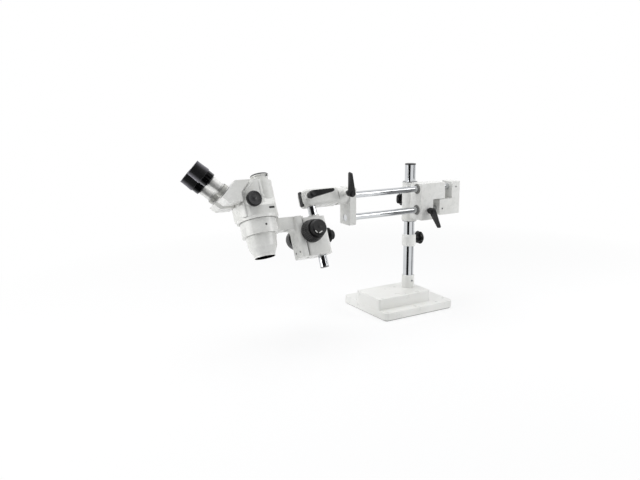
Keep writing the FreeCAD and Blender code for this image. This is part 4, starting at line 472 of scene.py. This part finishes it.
knurled, tree, shader = surface("knurled_aluminium", Metallic=0.8)
vary(tree, shader, "Base Color", "#bdbdb8", "#cbcbc6", 12.5)
vary(tree, shader, "Roughness", 0.3, 0.44, 50 / 7)
# Gloss black: its grey edges are a painted sheen in the base colour.
gloss, tree, shader = surface("gloss_black", Specular_IOR_Level=0.15)
painted_edge_sheen(tree, shader, "#050506", "#9a9a9d", 0.3)
vary(tree, shader, "Roughness", 0.14, 0.24, 20)
# Soft rubber: its grey edges are partly its real sheen and partly a painted sheen in the base colour.
soft_rubber, tree, shader = surface("soft_rubber", Specular_IOR_Level=0.25, Sheen_Weight=0.12,
                                    Sheen_Roughness=0.4)
painted_edge_sheen(tree, shader, "#0b0b0d", "#918f97", 0.14)
vary(tree, shader, "Roughness", 0.52, 0.7, 100 / 7)
grain(tree, shader, 10 / 13, 0.00003)
dress(rubber, "near_eyecup", "far_eyecup")
look = (-1, 0, 1)
eye_pieces = (
    ("diopter_grip", knurled, "ring", 60, [(0.0049, 0.0178, 0), (0.0052, 0.0183, 0),
                                           (0.0060, 0.0185, 0.0004), (0.0126, 0.0185, 0.0004),
                                           (0.0134, 0.0183, 0), (0.0137, 0.0178, 0)]),
    ("foot_ring", anodised, "house", 0, [(0.0002, 0.0170, 0), (0.0002, 0.0175, 0), (0.0011, 0.0175, 0),
                                         (0.0013, 0.0170, 0)]),
    ("tube_groove", anodised, "house", 0, [(0.0176, 0.0150, 0), (0.0177, 0.01518, 0), (0.0183, 0.01518, 0),
                                           (0.0184, 0.0150, 0)]),
    ("tube_collar", silver, "house", 0, [(0.0400, 0.0150, 0), (0.0402, 0.0156, 0), (0.0468, 0.0156, 0),
                                         (0.0470, 0.0152, 0)]),
    ("eyepiece_band", gloss, "ocular", 0, [(0.0488, 0.0157, 0), (0.0489, 0.0192, 0), (0.0496, 0.0201, 0),
                                           (0.0510, 0.0203, 0), (0.0690, 0.0205, 0), (0.0691, 0.0157, 0)]),
    ("cup_folds", soft_rubber, "ocular", 0, [(0.0683, 0.0190, 0), (0.0683, 0.0220, 0), (0.0687, 0.0224, 0),
                                             (0.0700, 0.0225, 0), (0.0790, 0.0222, 0), (0.0860, 0.0217, 0),
                                             (0.0960, 0.0215, 0), (0.1040, 0.0216, 0), (0.1041, 0.0190, 0)]),
    ("cup_lip", soft_rubber, "ocular", 0, [(0.1030, 0.0214, 0), (0.1036, 0.0219, 0), (0.1046, 0.0220, 0),
                                           (0.1051, 0.0215, 0), (0.1051, 0.0198, 0), (0.1046, 0.0192, 0),
                                           (0.1036, 0.0190, 0)]))
for label, side in (("near", -1), ("far", 1)):
    tube_foot = (-0.6725, side * 0.032, 0.0295)
    for name, finish, carrier, flutes, profile in eye_pieces:
        turned(f"{label}_{name}", profile, tube_foot, look, finish, f"{label}_{carrier}", flutes)

# Floor: plain white to the camera and in reflections, with a matt part near the stand that keeps its shadow.
# The matt part fades out between the two distances.
floor_reach, shadow_near, shadow_far = 20, 0.3, 1.6
floor_mesh = bpy.data.meshes.new("floor")
floor_mesh.from_pydata([(x * floor_reach, y * floor_reach, 0)
                        for x, y in ((-1, -1), (1, -1), (1, 1), (-1, 1))], [], [(0, 1, 2, 3)])
floor = bpy.data.objects.new("floor", floor_mesh)
floor.location = (0, 0, -0.0004)
bpy.context.scene.collection.objects.link(floor)
ground = bpy.data.materials.new("floor_white")
ground.use_nodes = True
tree = ground.node_tree
tree.nodes.clear()
place = add(tree, "ShaderNodeTexCoord")
reach = add(tree, "ShaderNodeVectorMath", {0: place.outputs["Object"]}, operation="LENGTH")
fade = add(tree, "ShaderNodeMapRange", {"Value": reach.outputs["Value"], "From Min": shadow_near,
                                        "From Max": shadow_far, "To Min": 0.72, "To Max": 1.0})
matte = add(tree, "ShaderNodeBsdfDiffuse", {"Color": colour("#f2f2f2")})
white = add(tree, "ShaderNodeEmission", {"Color": (1, 1, 1, 1), "Strength": 1.0})
rays = add(tree, "ShaderNodeLightPath")
seen = add(tree, "ShaderNodeMath", {0: rays.outputs["Is Camera Ray"], 1: rays.outputs["Is Glossy Ray"]},
           operation="MAXIMUM")
share = add(tree, "ShaderNodeMath", {0: seen.outputs["Value"], 1: fade.outputs["Result"]},
            operation="MULTIPLY")
mixed = add(tree, "ShaderNodeMixShader", {"Fac": share.outputs["Value"], 1: matte.outputs["BSDF"],
                                          2: white.outputs["Emission"]})
tree.links.new(mixed.outputs["Shader"], add(tree, "ShaderNodeOutputMaterial").inputs["Surface"])
floor_mesh.materials.append(ground)

# Backdrop: white to the camera, in reflections and through glass, and a soft even light on everything else.
world = bpy.data.worlds.new("studio")
bpy.context.scene.world = world
world.use_nodes = True
tree = world.node_tree
tree.nodes.clear()
rays = add(tree, "ShaderNodeLightPath")
seen = add(tree, "ShaderNodeMath", {0: rays.outputs["Is Camera Ray"], 1: rays.outputs["Is Glossy Ray"]},
           operation="MAXIMUM")
through = add(tree, "ShaderNodeMath", {0: seen.outputs["Value"], 1: rays.outputs["Is Transmission Ray"]},
              operation="MAXIMUM")
soft = add(tree, "ShaderNodeBackground", {"Color": colour("#f4f6fa"), "Strength": 0.33})
plain = add(tree, "ShaderNodeBackground", {"Color": (1, 1, 1, 1), "Strength": 1.0})
mixed = add(tree, "ShaderNodeMixShader", {"Fac": through.outputs["Value"], 1: soft.outputs["Background"],
                                          2: plain.outputs["Background"]})
tree.links.new(mixed.outputs["Shader"], add(tree, "ShaderNodeOutputWorld").inputs["Surface"])

# Lamps: a wide soft box overhead, one from the camera's left and one from its right.
# Each row gives a lamp's place, what it points at, its side in metres and its watts.
for name, place, aim, size, power in (("overhead", (-0.4, 0.2, 2.2), (-0.25, 0.0, 0.2), 1.8, 31.0),
                                      ("left_box", (-2.3, 0.1, 0.9), (-0.4, 0.0, 0.3), 1.3, 21.0),
                                      ("right_box", (1.2, -1.2, 0.9), (-0.2, 0.0, 0.3), 1.0, 17.0)):
    lamp = bpy.data.lights.new(name, "AREA")
    lamp.size = size
    lamp.energy = power
    holder = bpy.data.objects.new(name, lamp)
    holder.location = place
    holder.rotation_euler = (Vector(aim) - Vector(place)).to_track_quat("-Z", "Y").to_euler()
    bpy.context.scene.collection.objects.link(holder)


# Studio cards, seen only in reflections, which draw the bands on the chrome: a dark wedge of floor and wall
# for the column, a grey one farther round, a dark bar over the rods and a dark wall for the post.
def wedge(start_angle, end_angle, height):
    """Corners of a sector of the floor round the column, and of the wall that stands on its far side."""
    near_reach, far_reach, lift = 0.16, 1.7, 0.003
    start, end = math.radians(start_angle), math.radians(end_angle)
    places = ((near_reach, start), (far_reach, start), (far_reach, end), (near_reach, end))
    corners = [(reach * math.cos(turn), reach * math.sin(turn), lift) for reach, turn in places]
    return corners + [(x, y, height) for x, y, z in corners[1:3]]


post_x, post_y, post_reach = -0.42, -0.1, 1.6
post_card = [(post_x + post_reach * math.cos(math.radians(turn)),
              post_y + post_reach * math.sin(math.radians(turn)), height)
             for turn, height in ((242, 0.85), (290, 0.85), (290, 1.9), (242, 1.9))]
rod_card = [(-1.2, -0.62, 2.0), (2.5, -0.62, 2.0), (2.5, -0.36, 2.0), (-1.2, -0.36, 2.0)]
one_face, two_faces = [(0, 1, 2, 3)], [(0, 1, 2, 3), (1, 4, 5, 2)]
for name, corners, faces, tone in (("card_left", wedge(189, 237, 2.6), two_faces, "#161616"),
                                   ("card_right", wedge(300, 330, 1.4), two_faces, "#808080"),
                                   ("card_post", post_card, one_face, "#161616"),
                                   ("card_over", rod_card, one_face, "#161616")):
    mesh = bpy.data.meshes.new(name)
    mesh.from_pydata(corners, [], faces)
    card = bpy.data.objects.new(name, mesh)
    bpy.context.scene.collection.objects.link(card)
    cloth, tree, shader = surface(name, Roughness=0.9, Specular_IOR_Level=0.1)
    shader.inputs["Base Color"].default_value = colour(tone)
    mesh.materials.append(cloth)
    card.visible_camera = False
    card.visible_diffuse = False
    card.visible_shadow = False
